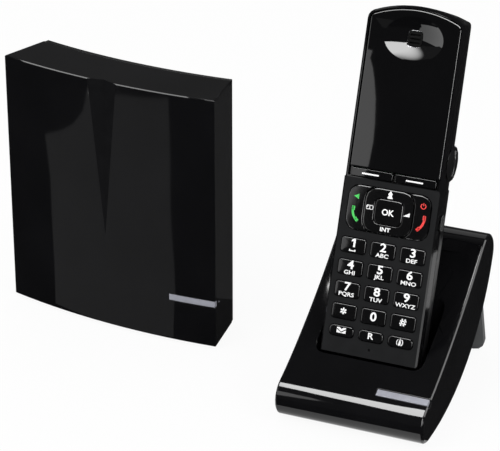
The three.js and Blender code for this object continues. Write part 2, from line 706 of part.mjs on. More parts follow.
const halfSpace = (z0, z1, y0 = -HANDSET.length, y1 = 2 * HANDSET.length) =>
  block(-HANDSET.width, HANDSET.width, y0, y1, z0, z1);

// Keys: where each stands on the face

function keyGrid() {
  const names = [["1", "2", "3"], ["4", "5", "6"], ["7", "8", "9"], ["star", "0", "hash"]];
  const grid = names.flatMap((row, r) => row.map((name, c) => ({
    name: "key_" + name,
    x: (c - 1) * KEYPAD.columnPitch,
    y: KEYPAD.fiveY + (1 - r) * KEYPAD.rowPitch,
    height: KEYPAD.keyHeight,
    corner: KEYPAD.corner,
  })));
  const low = ["message", "recall", "mute"].map((name, c) => ({
    name: "key_" + name,
    x: (c - 1) * KEYPAD.columnPitch,
    y: KEYPAD.lowRowY,
    height: KEYPAD.lowKeyHeight,
    corner: KEYPAD.lowCorner,
  }));
  return [...grid, ...low];
}

const keyOutline = (key, grow) =>
  roundedBox(KEYPAD.keyWidth + 2 * grow, key.height + 2 * grow, key.corner + Math.min(grow, 0), key.x, key.y);

function keyCap(key) {
  const below = -HANDSET.wall - FIT.gap;
  const stem = upright(keyOutline(key, -FIT.gap), below - KEYPAD.flangeThick, 0);
  const flange = upright(keyOutline(key, KEYPAD.flange), below - KEYPAD.flangeThick, below);
  const cap = upright(keyOutline(key, -FIT.gap), -KEYPAD.bevel * 2, KEYPAD.raise, KEYPAD.bevel);
  return mesh(key.name, join(stem, cap, flange), GLOSS);
}

const clusterOutline = (grow) => roundedBox(CLUSTER.width + 2 * grow, CLUSTER.height + 2 * grow,
  CLUSTER.corner + grow, 0, CLUSTER.y);
const navOutline = (grow) => roundedBox(CLUSTER.navWidth + 2 * grow, CLUSTER.height + 2 * grow,
  CLUSTER.navCorner + grow, 0, CLUSTER.y);
const okOutline = (grow) => roundedBox(CLUSTER.okWidth + 2 * grow, CLUSTER.okHeight + 2 * grow,
  CLUSTER_KEY.okCorner + grow, 0, CLUSTER.y);

function clusterBlock(outline) {
  return upright(outline, -CLUSTER_KEY.root, CLUSTER_KEY.raise, KEYPAD.bevel);
}

function sideKey(name, side) {
  const low = -HANDSET.wall - FIT.gap;
  const middle = CLUSTER.navWidth / 2 + CLUSTER_KEY.seam;
  const flange = cut(upright(clusterOutline(KEYPAD.flange), low - CLUSTER_KEY.flangeThick, low),
    block(-middle, middle, 0, HANDSET.length, -HANDSET.depth, 0));
  const whole = join(clusterBlock(clusterOutline(-FIT.gap)), flange);
  const nav = upright(navOutline(CLUSTER_KEY.seam - FIT.gap), -HANDSET.depth, FIT.overrun);
  const half = block(Math.min(0, side * CLUSTER.width), Math.max(0, side * CLUSTER.width),
    0, HANDSET.length, -HANDSET.depth, FIT.overrun);
  return mesh(name, common(cut(whole, nav), half), GLOSS);
}

function navPad() {
  const hole = upright(okOutline(FIT.gap), -HANDSET.depth, FIT.overrun);
  const low = -CLUSTER_KEY.navFlangeTop - CLUSTER_KEY.flangeThick;
  const tabs = roundedBox(CLUSTER.navWidth - 2 * CLUSTER.navCorner, CLUSTER.height + 2 * KEYPAD.flange,
    KEYPAD.flange, 0, CLUSTER.y);
  const whole = join(clusterBlock(navOutline(-FIT.gap)), upright(navOutline(-KEYPAD.flange * 2), low, 0),
    upright(tabs, low, -CLUSTER_KEY.navFlangeTop));
  const well = upright(okOutline(KEYPAD.flange + 2 * FIT.gap), -HANDSET.depth, -CLUSTER_KEY.root);
  return mesh("nav_pad", cut(whole, hole, well), GLOSS);
}

function okKey() {
  const top = -CLUSTER_KEY.okFlangeTop;
  const stem = upright(okOutline(0), top - CLUSTER_KEY.flangeThick, 0);
  const flange = upright(okOutline(KEYPAD.flange + FIT.gap), top - CLUSTER_KEY.flangeThick, top);
  return mesh("key_ok", join(clusterBlock(okOutline(0)), stem, flange), GLOSS);
}

function softKey(side) {
  const outline = roundedBox(SOFT_KEY.width, SOFT_KEY.height, SOFT_KEY.corner, side * SOFT_KEY.x, SOFT_KEY.y);
  const top = -SOFT_KEY.sink;
  const shape = upright(outline, top - SOFT_KEY.thick, top);
  return mesh(side < 0 ? "softkey_left" : "softkey_right", shape, GLOSS);
}

// Front shell: keypad apertures below, a ledged recess for the window above

const stripBottom = SOFT_KEY.y - SOFT_KEY.height / 2 - FIT.gap;
const recessInset = WINDOW.frame - FIT.gap;

function frontShell() {
  const half = common(handsetBody, halfSpace(seam + FIT.gap / 2, FIT.overrun));
  const innerOutline = frontOutline(HANDSET.wall, HANDSET.wall, HANDSET.bottomCorner);
  const inner = (top, y0, y1) =>
    common(upright(innerOutline, seam - FIT.overrun, top), halfSpace(seam * 2, 0, y0, y1));
  const lower = inner(-HANDSET.wall, 0, stripBottom);
  const upper = inner(-WINDOW.recess - WINDOW.ledge, stripBottom - FIT.gap, HANDSET.length);
  const recess = upright(frontOutline(recessInset, stripBottom, WINDOW.corner), -WINDOW.recess, FIT.overrun);
  const through = common(upright(frontOutline(recessInset + WINDOW.seat, stripBottom, WINDOW.corner),
    seam, FIT.overrun), halfSpace(seam * 2, FIT.overrun));
  const jack = sideways(circle(JACK_COVER.bore, JACK_COVER.y, -JACK_COVER.depth), 0, HANDSET.width);
  const softKeys = upright(roundedBox(2 * (SOFT_KEY.x + SOFT_KEY.width / 2 + FIT.gap),
    SOFT_KEY.height + 2 * FIT.gap, SOFT_KEY.corner, 0, SOFT_KEY.y), seam, FIT.overrun);
  const keys = keyGrid().map((key) => upright(keyOutline(key, 0), seam, FIT.overrun));
  const cluster = upright(clusterOutline(0), seam, FIT.overrun);
  const microphone = upright(circle(MICROPHONE.hole, 0, MICROPHONE.y), seam, FIT.overrun);
  const openings = [lower, upper, recess, through, softKeys, cluster, microphone, jack, ...keys];
  return mesh("front_shell", cut(half, ...openings), MATTE);
}

// Earpiece dish: a shallow bowl over an oval, and the cup that carries it behind the window
function bowl(grow, low) {
  const { dish, sphereRadius } = EARPIECE;
  const lift = sphereRadius - dish;
  const rim = Math.sqrt(sphereRadius ** 2 - lift ** 2) / sphereRadius;
  const [w, h] = [EARPIECE.halfWidth / rim + grow, EARPIECE.halfHeight / rim + grow];
  const sphere = new THREE.SphereGeometry(w, STEPS.round * 2, STEPS.section);
  const flattened = sphere.applyMatrix4(new THREE.Matrix4().makeScale(1, h / w, (sphereRadius + grow) / w));
  return solid(flattened.translate(0, EARPIECE.y, lift + low));
}

function displayWindow() {
  const top = -WINDOW.sink;
  const outline = frontOutline(WINDOW.frame, WINDOW.bottom, WINDOW.corner);
  const plate = upright(outline, top - WINDOW.thick, top);
  const cup = common(bowl(EARPIECE.wall, top), halfSpace(seam, top - WINDOW.thick / 2));
  const hole = upright(roundedBox(GRILLE.width + 2 * FIT.gap, GRILLE.height + 2 * FIT.gap, GRILLE.corner, 0,
    EARPIECE.y), seam, FIT.overrun);
  return mesh("display_window", cut(join(plate, cup), bowl(0, top), hole), GLOSS);
}

function grille() {
  const low = -WINDOW.sink - EARPIECE.dish - EARPIECE.wall;
  const outline = roundedBox(GRILLE.width, GRILLE.height, GRILLE.corner, 0, EARPIECE.y);
  const plate = upright(outline, low, low + GRILLE.thick);
  const pitch = GRILLE.height / (GRILLE.slots + 1);
  const slots = Array.from({ length: GRILLE.slots }, (_, i) => {
    const y = EARPIECE.y + (i - (GRILLE.slots - 1) / 2) * pitch;
    return upright(roundedBox(GRILLE.slotLength, GRILLE.slotWidth, GRILLE.slotWidth / 3, 0, y), seam, 0);
  });
  return mesh("earpiece_grille", cut(plate, ...slots), MATTE);
}

function speaker() {
  const top = -WINDOW.sink - EARPIECE.dish - EARPIECE.wall - FIT.gap;
  const { radius, rearRadius, thick } = SPEAKER;
  const can = turned([[0, -thick], [rearRadius, -thick], [radius, -thick / 2], [radius, 0], [0, 0]]);
  return mesh("earpiece_speaker", solid(can.translate(0, EARPIECE.y, top)), METAL);
}

function displayPanel() {
  const top = -WINDOW.sink - WINDOW.thick - FIT.gap;
  const { inset, bottom, thick } = DISPLAY;
  const half = handsetHalf - inset;
  return mesh("display_panel", block(-half, half, bottom, DISPLAY.top, top - thick, top), PANEL_GREY);
}

const innerHalf = handsetHalf - HANDSET.wall - FIT.gap;
const boardTop = -KEY_MAT.depth - KEY_MAT.thick - FIT.gap;

function keyMat() {
  const { bottom, top, depth, thick } = KEY_MAT;
  const outline = roundedBox(2 * innerHalf, top - bottom, KEYPAD.corner, 0, (bottom + top) / 2);
  const mat = upright(outline, -depth - thick, -depth);
  const room = upright(circle(MICROPHONE.radius + FIT.gap, 0, MICROPHONE.y), seam, 0);
  return mesh("key_mat", cut(mat, room), RUBBER);
}

function mainBoard() {
  const { bottom, top, thick } = MAIN_BOARD;
  const outline = roundedBox(2 * innerHalf, top - bottom, KEYPAD.corner, 0, (bottom + top) / 2);
  return mesh("main_board", upright(outline, boardTop - thick, boardTop), BOARD);
}

function microphone() {
  const top = -HANDSET.wall - FIT.gap;
  const { radius, thick } = MICROPHONE;
  const can = turned([[0, -thick], [radius, -thick], [radius, 0], [0, 0]]);
  return mesh("microphone", solid(can.translate(0, MICROPHONE.y, top)), METAL);
}

// Rear shell: battery room open to the back, board room open to the front

const doorHalf = lowerHalf - DOOR.inset;

const doorBlock = (grow, low) =>
  block(-doorHalf - grow, doorHalf + grow, low, DOOR.top + grow, -2 * HANDSET.depth, seam);

const skinInside = (inset) =>
  section(handsetHalf - inset, HANDSET.depth - inset, -HANDSET.length, 2 * HANDSET.length);

function batteryRoom() {
  const half = 2 * BATTERY.radius + FIT.gap;
  const bottom = BATTERY.bottom - FIT.gap;
  const top = bottom + BATTERY.length + 2 * FIT.gap;
  return block(-half, half, bottom, top, -2 * HANDSET.depth, seam - REAR_SHELL.floor);
}

function contactHole(side) {
  const from = -HANDSET.bulge - FIT.overrun;
  const to = -CONTACT.face + CONTACT.length + FIT.gap;
  return endways(circle(CONTACT.radius + FIT.gap, side * CHARGE_PIN.x, -CHARGE_PIN.depth), from, to);
}

function contact(side) {
  const shape = endways(circle(CONTACT.radius, side * CHARGE_PIN.x, -CHARGE_PIN.depth),
    -CONTACT.face, -CONTACT.face + CONTACT.length);
  return mesh(side < 0 ? "charge_contact_left" : "charge_contact_right", shape, GOLD);
}

function studHoles() {
  const room = CLIP.studLength + FIT.gap;
  return sideways(circle(CLIP.studRadius + FIT.gap, CLIP.y, -CLIP.earDepth), -handsetHalf - FIT.overrun,
    -handsetHalf + room).add(sideways(circle(CLIP.studRadius + FIT.gap, CLIP.y, -CLIP.earDepth),
    handsetHalf - room, handsetHalf + FIT.overrun));
}

function rearShell() {
  const half = common(handsetBody, halfSpace(-2 * HANDSET.depth, seam - FIT.gap / 2));
  const room = common(skinInside(HANDSET.wall), halfSpace(-2 * HANDSET.depth, 0, REAR_SHELL.roomBottom,
    REAR_SHELL.roomTop), upright(frontOutline(HANDSET.wall, HANDSET.wall, 0), -HANDSET.depth, 0));
  const below = -2 * HANDSET.bulge - FIT.overrun;
  const doorSeat = cut(doorBlock(FIT.gap, below), skinInside(DOOR.thick + FIT.gap));
  const openings = [room, doorSeat, batteryRoom(), ...[-1, 1].map(contactHole), studHoles()];
  return mesh("rear_shell", cut(half, ...openings), MATTE);
}

function batteryDoor() {
  const skin = cut(common(handsetBody, doorBlock(0, DOOR.bottom)), skinInside(DOOR.thick));
  const grips = [-1, 0, 1].map((i) => {
    const y = DOOR.gripY + i * 3 * DOOR.gripRadius;
    const round = circle(DOOR.gripRadius, y, -depthAt(y) - DOOR.gripRadius / 2);
    return sideways(round, -DOOR.gripWidth / 2, DOOR.gripWidth / 2);
  });
  return mesh("battery_door", cut(skin, ...grips), MATTE);
}

function batteryPack() {
  const z = seam - REAR_SHELL.floor - FIT.gap - BATTERY.radius;
  const cell = (side) => endways(circle(BATTERY.radius, side * (BATTERY.radius - FIT.gap / 2), z),
    BATTERY.bottom, BATTERY.bottom + BATTERY.length, HANDSET.edge);
  return mesh("battery_pack", join(cell(-1), cell(1)), BATTERY_WRAP);
}

// Belt clip

// A pod on the handset's side with a domed outer face
function clipEar(side) {
  const { earRadius, earDome, earReach, earDepth } = CLIP;
  const radius = (earRadius ** 2 + earDome ** 2) / (2 * earDome);
  const sweep = Math.asin(earRadius / radius);
  const dome = arc(point(0, earDome - radius), radius, Math.PI / 2 - sweep, Math.PI / 2, STEPS.fillet * 2);
  const rim = dome.slice(0, -1).map((p) => [p.x, p.y]);
  const pod = turned([[0, -earReach], [earRadius, -earReach], ...rim, [0, earDome]]);
  pod.rotateY((side * Math.PI) / 2);
  return solid(pod.translate(side * (handsetHalf + FIT.gap), CLIP.y, -earDepth));
}

function clipStrap() {
  const [low, high] = [CLIP.y - CLIP.height / 2, CLIP.y + CLIP.height / 2];
  const grown = (by) => section(handsetHalf + by, HANDSET.depth + by, HANDSET.stepY, HANDSET.length);
  const wide = handsetHalf + FIT.overrun;
  const back = block(-wide, wide, low, high, -2 * HANDSET.depth, -CLIP.earDepth);
  const band = common(grown(FIT.gap + CLIP.thick), back);
  const stud = (side) => sideways(circle(CLIP.studRadius, CLIP.y, -CLIP.earDepth),
    side > 0 ? handsetHalf - CLIP.studLength : -handsetHalf - FIT.gap - CLIP.thick / 2,
    side > 0 ? handsetHalf + FIT.gap + CLIP.thick / 2 : -handsetHalf + CLIP.studLength);
  const strap = cut(join(band, clipEar(-1), clipEar(1)), grown(FIT.gap));
  return mesh("clip_strap", join(strap, stud(-1), stud(1)), MATTE);
}

function clipTongue() {
  const root = CLIP.y - CLIP.height / 2 - FIT.gap;
  const back = -depthAt(root) - FIT.gap - CLIP.tongueThick;
  const tip = root - CLIP.tongueLength;
  const out = back - CLIP.standOff;
  const line = [
    [root, back + CLIP.tongueThick], [root, back], [tip + CLIP.tongueThick, out, CLIP.noseRadius],
    [tip, out + CLIP.tongueThick, CLIP.noseRadius / 2], [tip + CLIP.tongueThick, out + 2 * CLIP.tongueThick],
    [tip + 3 * CLIP.tongueThick, out + CLIP.tongueThick],
  ];
  return mesh("clip_tongue", sideways(rounded(line), -CLIP.tongueWidth / 2, CLIP.tongueWidth / 2), MATTE);
}

function jackCover() {
  const x = lowerHalf + FIT.gap;
  const { y, depth, length, width, thick, corner } = JACK_COVER;
  const outline = roundedBox(length, width, corner, y, -depth);
  return mesh("jack_cover", sideways(outline, x, x + thick, thick / 3), RUBBER);
}

function handset() {
  const group = new THREE.Group();
  group.applyMatrix4(handsetFrame);
  group.add(
    frontShell(),
    rearShell(),
    displayWindow(),
    grille(),
    speaker(),
    displayPanel(),
    keyMat(),
    mainBoard(),
    microphone(),
    batteryPack(),
    batteryDoor(),
    contact(-1),
    contact(1),
    clipStrap(),
    clipTongue(),
    jackCover(),
    softKey(-1),
    softKey(1),
    sideKey("key_talk", -1),
    sideKey("key_end", 1),
    navPad(),
    okKey(),
    ...keyGrid().map(keyCap),
  );
  return group;
}

// Base station: a slab bent about an upright axis behind it

const baseHalf = BASE.width / 2;
const baseRadius = (baseHalf ** 2 + BASE.rise ** 2) / (2 * BASE.rise);
const baseCentre = point(0, baseRadius - BASE.rise);
const endSlope = BASE.endInset / BASE.depth;

// Plan of the slab between two depths, its ends drawn in by an inset
function slabPlan(front, back, inset) {
  const line = (depth) => {
    const radius = baseRadius - depth;
    const half = baseHalf - endSlope * depth - inset;
    const reach = Math.asin(half / radius);
    return arc(baseCentre, radius, -Math.PI / 2 - reach, -Math.PI / 2 + reach, STEPS.arc);
  };
  return [...line(front), ...line(back).reverse()];
}

const coverFront = BASE.depth - BASE.coverThick;
const frontWall = GROOVE.depth + BASE.wall;

function grooveCutter() {
  const y = -BASE.rise;
  const [over, deep] = [y - FIT.overrun, y + GROOVE.depth];
  const wide = GROOVE.halfWidth * (1 + FIT.overrun / GROOVE.depth);
  const ring = (z, part) => [[-wide * part, over], [wide * part, over], [0, over + (deep - over) * part]]
    .map(([x, y0]) => new THREE.Vector3(x, y0, z));
  const top = BASE.height + FIT.overrun;
  const tip = BASE.height - GROOVE.length;
  return solid(lofted([ring(tip, THIN_SHARE), ring(top, 1 + FIT.overrun / GROOVE.length)]));
}

function baseBarShape(gap) {
  const outer = gap > 0 ? -FIT.overrun : 0;
  const plan = slabPlan(outer, BASE_BAR.thick + gap, gap > 0 ? -FIT.overrun : 0);
  const strip = upright(plan, BASE_BAR.bottom - gap, BASE_BAR.bottom + BASE_BAR.height + gap);
  const right = gap > 0 ? BASE.width : baseHalf - BASE.edge;
  return common(strip, block(BASE_BAR.left - gap, right, -BASE.depth, BASE.depth, 0, BASE.height));
}

function baseBoss() {
  return endways(circle(BASE_SCREW.bossRadius, 0, baseScrewZ), -BASE.rise + frontWall / 2,
    baseBackY(0) - BASE.coverThick - FIT.gap);
}

// Outer face of the slab's back at a place across it
function baseBackY(x) {
  return baseCentre.y - Math.sqrt((baseRadius - BASE.depth) ** 2 - x ** 2);
}

function baseFootOutline(side, grow) {
  const { width, length, corner, fromEnd, y } = BASE_FOOT;
  return roundedBox(width + 2 * grow, length + 2 * grow, corner, side * (baseHalf - fromEnd), y);
}

function baseFrontShell() {
  const whole = upright(slabPlan(0, coverFront - FIT.gap, 0), 0, BASE.height, BASE.edge);
  const room = upright(slabPlan(frontWall, BASE.depth, BASE.wall), BASE.wall, BASE.height - BASE.wall);
  const feet = [-1, 1].map((side) =>
    upright(baseFootOutline(side, FIT.gap), -FIT.overrun, BASE_FOOT.sunk + FIT.gap));
  const bore = endways(circle(SCREW.shankRadius + FIT.gap, 0, baseScrewZ),
    baseBackY(0) - SCREW.length - BASE.coverThick, BASE.depth);
  const hollow = join(cut(whole, room), baseBoss());
  return mesh("base_front_shell", cut(hollow, grooveCutter(), baseBarShape(FIT.gap), bore, ...feet), GLOSS);
}

const rearwards = (x, z) => new THREE.Matrix4()
  .makeRotationX(-Math.PI / 2)
  .setPosition(x, baseBackY(x) - FIT.gap, z);

function socketRoom(x, z) {
  return solid(turned([[0, -BASE.depth / 2], [POWER_SOCKET.radius + FIT.gap, -BASE.depth / 2],
    [POWER_SOCKET.radius + FIT.gap, FIT.overrun], [0, FIT.overrun]]).applyMatrix4(rearwards(x, z)));
}

function lineSocketBlock(grow) {
  const { x, z, width, height } = LINE_SOCKET;
  const y = baseBackY(x) - FIT.gap;
  const [w, h] = [width / 2 + grow, height / 2 + grow];
  const front = BASE.depth - BASE_BOARD.fromBack - BASE.rise + FIT.gap;
  return block(x - w, x + w, front - grow, y + (grow > 0 ? FIT.overrun : 0), z - h, z + h);
}

function lineSocket() {
  const { x, z, plugWidth, plugHeight, plugDepth } = LINE_SOCKET;
  const y = baseBackY(x) - FIT.gap;
  const plug = block(x - plugWidth / 2, x + plugWidth / 2, y - plugDepth, y + FIT.overrun,
    z - plugHeight / 2, z + plugHeight / 2);
  return mesh("line_socket", cut(lineSocketBlock(0), plug), RUBBER);
}

function keyhole(side) {
  const x = side * (baseHalf - KEYHOLE.fromEnd);
  const hole = endways(circle(KEYHOLE.radius, x, KEYHOLE.z), 0, 2 * BASE.depth);
  const slot = block(x - KEYHOLE.slot, x + KEYHOLE.slot, 0, 2 * BASE.depth, KEYHOLE.z,
    KEYHOLE.z + KEYHOLE.slotLength);
  return join(hole, slot);
}

function vents() {
  return Array.from({ length: VENT.count }, (_, i) => {
    const x = (i - (VENT.count - 1) / 2) * VENT.pitch;
    return endways(roundedBox(VENT.width, VENT.length, VENT.width / 3, x, VENT.z), 0, 2 * BASE.depth);
  });
}

function buttonRoom() {
  const { z, radius } = PAGE_BUTTON;
  const x = baseHalf - PAGE_BUTTON.fromEnd;
  return endways(circle(radius + FIT.gap, x, z), 0, 2 * BASE.depth);
}

function baseRearCover() {
  const plate = upright(slabPlan(coverFront, BASE.depth, BASE.coverInset), BASE.coverInset,
    BASE.height - BASE.coverInset);
  const head = endways(circle(SCREW.headRadius + FIT.gap, 0, baseScrewZ),
    baseBackY(0) - SCREW.headHeight - FIT.gap, 2 * BASE.depth);
  const shank = endways(circle(SCREW.shankRadius + FIT.gap, 0, baseScrewZ), 0, 2 * BASE.depth);
  const sockets = [socketRoom(BASE_SOCKET.x, BASE_SOCKET.z), lineSocketBlock(FIT.gap)];
  const holes = [buttonRoom(), head, shank, keyhole(-1), keyhole(1), ...vents()];
  return mesh("base_rear_cover", cut(plate, ...sockets, ...holes), MATTE);
}

function baseBoard() {
  const { fromEnd, height, bottom, thick, fromBack } = BASE_BOARD;
  const half = baseHalf - fromEnd;
  const back = BASE.depth - fromBack - BASE.rise;
  const plate = block(-half, half, back - thick, back, bottom, bottom + height);
  return mesh("base_board", plate, BOARD);
}

function antenna() {
  const { width, root, fromTop, thick, fromEnd } = ANTENNA;
  const x = baseHalf - fromEnd;
  const back = BASE.depth - BASE_BOARD.fromBack - BASE.rise;
  const foot = BASE_BOARD.bottom + BASE_BOARD.height - root;
  const strip = block(x - width / 2, x + width / 2, back + FIT.gap, back + FIT.gap + thick, foot,
    BASE.height - fromTop);
  return mesh("base_antenna", strip, GOLD);
}

function pageButton() {
  const { z, radius, thick, proud, flange, flangeThick } = PAGE_BUTTON;
  const x = baseHalf - PAGE_BUTTON.fromEnd;
  const face = baseBackY(x) + proud;
  const cap = endways(circle(radius, x, z), face - thick - proud, face, FIT.gap);
  const inner = baseBackY(x - radius) - BASE.coverThick - 3 * FIT.gap;
  const rim = endways(circle(radius + flange, x, z), inner - flangeThick, inner);
  const neck = endways(circle(radius - flange, x, z), inner - flangeThick, face - proud);
  return mesh("page_button", join(cap, rim, neck), MATTE);
}

function baseScrew() {
  const made = mesh("base_screw", slotted(solid(screwShape())), METAL);
  made.rotation.x = Math.PI / 2;
  made.position.set(0, baseBackY(0) - SCREW.headHeight - FIT.gap / 2, baseScrewZ);
  return made;
}

function baseFoot(side) {
  const shape = upright(baseFootOutline(side, 0), -BASE.lift, BASE_FOOT.sunk);
  return mesh(side < 0 ? "base_foot_left" : "base_foot_right", shape, RUBBER);
}

function baseStation() {
  const group = new THREE.Group();
  group.position.set(BASE.x, BASE.y, BASE.lift);
  group.rotation.z = radians(BASE.turnDegrees);
  const inlet = powerSocket().applyMatrix4(rearwards(BASE_SOCKET.x, BASE_SOCKET.z));
  group.add(
    baseFrontShell(),
    baseRearCover(),
    mesh("base_light_bar", baseBarShape(0), LIGHT),
    baseBoard(),
    antenna(),
    lineSocket(),
    mesh("base_power_socket", solid(inlet), RUBBER),
    pageButton(),
    baseFoot(-1),
    baseFoot(1),
    baseScrew(),
  );
  return group;
}

const phone = new THREE.Group();
phone.name = "cordless_phone";
const set = new THREE.Group();
set.position.y = -CRADLE.frontFootY;
set.add(cradle(), handset(), baseStation());
phone.add(set);

export default phone;
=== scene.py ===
"""Looks of a cordless phone: a handset in its charging cradle, and the base station beside it."""
import json
import logging
import math
from collections.abc import Iterable, Sequence
from dataclasses import dataclass
from enum import Enum
from typing import ClassVar

import bmesh
import bpy
from mathutils import Matrix, Vector

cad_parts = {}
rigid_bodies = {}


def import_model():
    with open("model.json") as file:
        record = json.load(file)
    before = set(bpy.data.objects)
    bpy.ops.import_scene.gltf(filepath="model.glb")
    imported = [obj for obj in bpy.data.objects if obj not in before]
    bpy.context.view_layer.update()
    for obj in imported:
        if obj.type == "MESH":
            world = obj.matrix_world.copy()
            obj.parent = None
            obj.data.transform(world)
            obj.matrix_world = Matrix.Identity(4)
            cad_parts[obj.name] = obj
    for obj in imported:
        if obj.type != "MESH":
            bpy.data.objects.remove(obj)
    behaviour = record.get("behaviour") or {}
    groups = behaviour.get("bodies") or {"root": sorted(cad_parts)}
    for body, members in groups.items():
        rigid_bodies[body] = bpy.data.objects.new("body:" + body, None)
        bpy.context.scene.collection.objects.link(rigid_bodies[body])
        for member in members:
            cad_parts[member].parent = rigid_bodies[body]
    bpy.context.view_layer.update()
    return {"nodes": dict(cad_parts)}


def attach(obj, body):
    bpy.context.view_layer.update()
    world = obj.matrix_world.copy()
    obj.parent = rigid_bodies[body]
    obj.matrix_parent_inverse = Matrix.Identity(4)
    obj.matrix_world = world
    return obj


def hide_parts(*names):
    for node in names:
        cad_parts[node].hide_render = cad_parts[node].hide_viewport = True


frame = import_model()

MM = 0.001
MERGE = 1e-6
log = logging.getLogger("phone")

Mesh = bpy.types.Mesh
Socket = bpy.types.NodeSocket
Point = tuple[float, float]
Triple = tuple[float, float, float]


# Node trees


class Graph:
    """A node tree, with one method for all its nodes."""

    def __init__(self, tree: bpy.types.NodeTree) -> None:
        """Start from an empty tree."""
        self.tree = tree
        tree.nodes.clear()

    def node(self, kind: str, inputs: dict | None = None, **settings: object) -> bpy.types.Node:
        """Add one node.

        Args:
            kind: The node's type name.
            inputs: Values, Numbers or sockets by input name or index.
            settings: Attributes set before the inputs; "stops" fills a ramp.

        Returns:
            The new node.
        """
        made = self.tree.nodes.new(kind)
        stops = settings.pop("stops", ())
        for name, value in settings.items():
            setattr(made, name, value)
        if stops:
            for element, (place, shade) in zip(made.color_ramp.elements, stops):
                element.position = place
                element.color = (*shade, 1.0)
        for key, value in (inputs or {}).items():
            self.feed(made.inputs[key], value)
        return made

    def feed(self, socket: Socket, value: object) -> None:
        """Set or link an input.

        Args:
            socket: The input to fill.
            value: A Number, a socket, or a plain value.
        """
        if isinstance(value, Number):
            value = value.socket
        if isinstance(value, Socket):
            self.tree.links.new(value, socket)
        elif socket.type == "RGBA" and len(value) == 3:
            socket.default_value = (*value, 1.0)
        else:
            socket.default_value = value

    def number(self, node: bpy.types.Node, output: str | int = 0) -> "Number":
        """Wrap an output for use in expressions."""
        return Number(self, node.outputs[output])

    def dot(self, vector: Socket, way: Sequence[float]) -> "Number":
        """How far a vector reaches along a direction."""
        inputs = {0: vector, 1: tuple(way)}
        return self.number(self.node("ShaderNodeVectorMath", inputs, operation="DOT_PRODUCT"), "Value")

    def noise(self, where: Socket, scale: float, detail: float) -> "Number":
        """Cloudy noise from 0 to 1 over a place."""
        inputs = {"Vector": where, "Scale": scale, "Detail": detail}
        return self.number(self.node("ShaderNodeTexNoise", inputs), "Fac")

    def cells(self, where: Socket, scale: float, distance: str = "EUCLIDEAN") -> "Number":
        """How far a place is from the middle of its cell."""
        inputs = {"Vector": where, "Scale": scale}
        return self.number(self.node("ShaderNodeTexVoronoi", inputs, distance=distance), "Distance")

    def mix(self, share: "Number", under: Socket, over: Triple) -> Socket:
        """One colour laid over another by a share."""
        return self.node("ShaderNodeMix", {"Factor": share, 6: under, 7: over}, data_type="RGBA").outputs[2]


class Number:
    """An output that adds Math nodes when it is used in an expression."""

    def __init__(self, graph: Graph, socket: Socket) -> None:
        """Wrap a socket of a tree."""
        self.graph = graph
        self.socket = socket

    def maths(self, operation: str, *values: object, clamp: bool = False) -> "Number":
        """Add a Math node on plain values or Numbers."""
        settings = {"operation": operation, "use_clamp": clamp}
        return self.graph.number(self.graph.node("ShaderNodeMath", dict(enumerate(values)), **settings))

    def __add__(self, other: object) -> "Number":
        """Sum."""
        return self.maths("ADD", self, other)

    __radd__ = __add__

    def __sub__(self, other: object) -> "Number":
        """Difference."""
        return self.maths("SUBTRACT", self, other)

    def __rsub__(self, other: object) -> "Number":
        """Difference the other way round."""
        return self.maths("SUBTRACT", other, self)

    def __mul__(self, other: object) -> "Number":
        """Product."""
        return self.maths("MULTIPLY", self, other)

    __rmul__ = __mul__

    def clamped(self) -> "Number":
        """The value held between 0 and 1."""
        return self.maths("ADD", self, 0.0, clamp=True)

    def step(self, low: float, high: float) -> "Number":
        """A smooth rise from 0 at low to 1 at high."""
        inputs = {"Value": self, "From Min": low, "From Max": high}
        return self.graph.number(
            self.graph.node("ShaderNodeMapRange", inputs, interpolation_type="SMOOTHSTEP")
        )


def fresh_material(name: str) -> tuple[bpy.types.Material, Graph]:
    """A new material.

    Args:
        name: Its name.

    Returns:
        The material and its empty tree.
    """
    material = bpy.data.materials.new(name)
    material.use_nodes = True
    return material, Graph(material.node_tree)


# Places


@dataclass(frozen=True)
class Place:
    """A local frame in the part, with lengths in millimetres inside it."""

    origin: Triple
    right: Vector
    up: Vector
    out: Vector

    def matrix(self) -> Matrix:
        """The matrix from local millimetres to metres in the part's frame."""
        columns = Matrix((self.right, self.up, self.out)).transposed() * MM
        return Matrix.Translation(Vector(self.origin) * MM) @ columns.to_4x4()


LEAN = math.radians(19.56)
TURN = math.radians(-6.17)
HANDSET_PLACE = Place(
    (0.0, 2.0, 29.6),
    Vector((1, 0, 0)),
    Vector((0, math.sin(LEAN), math.cos(LEAN))),
    Vector((0, -math.cos(LEAN), math.sin(LEAN))),
)
BASE_PLACE = Place(
    (-152.8, 37.2, 1.7),
    Vector((math.cos(TURN), math.sin(TURN), 0)),
    Vector((-math.sin(TURN), math.cos(TURN), 0)),
    Vector((0, 0, 1)),
)


# Finishes


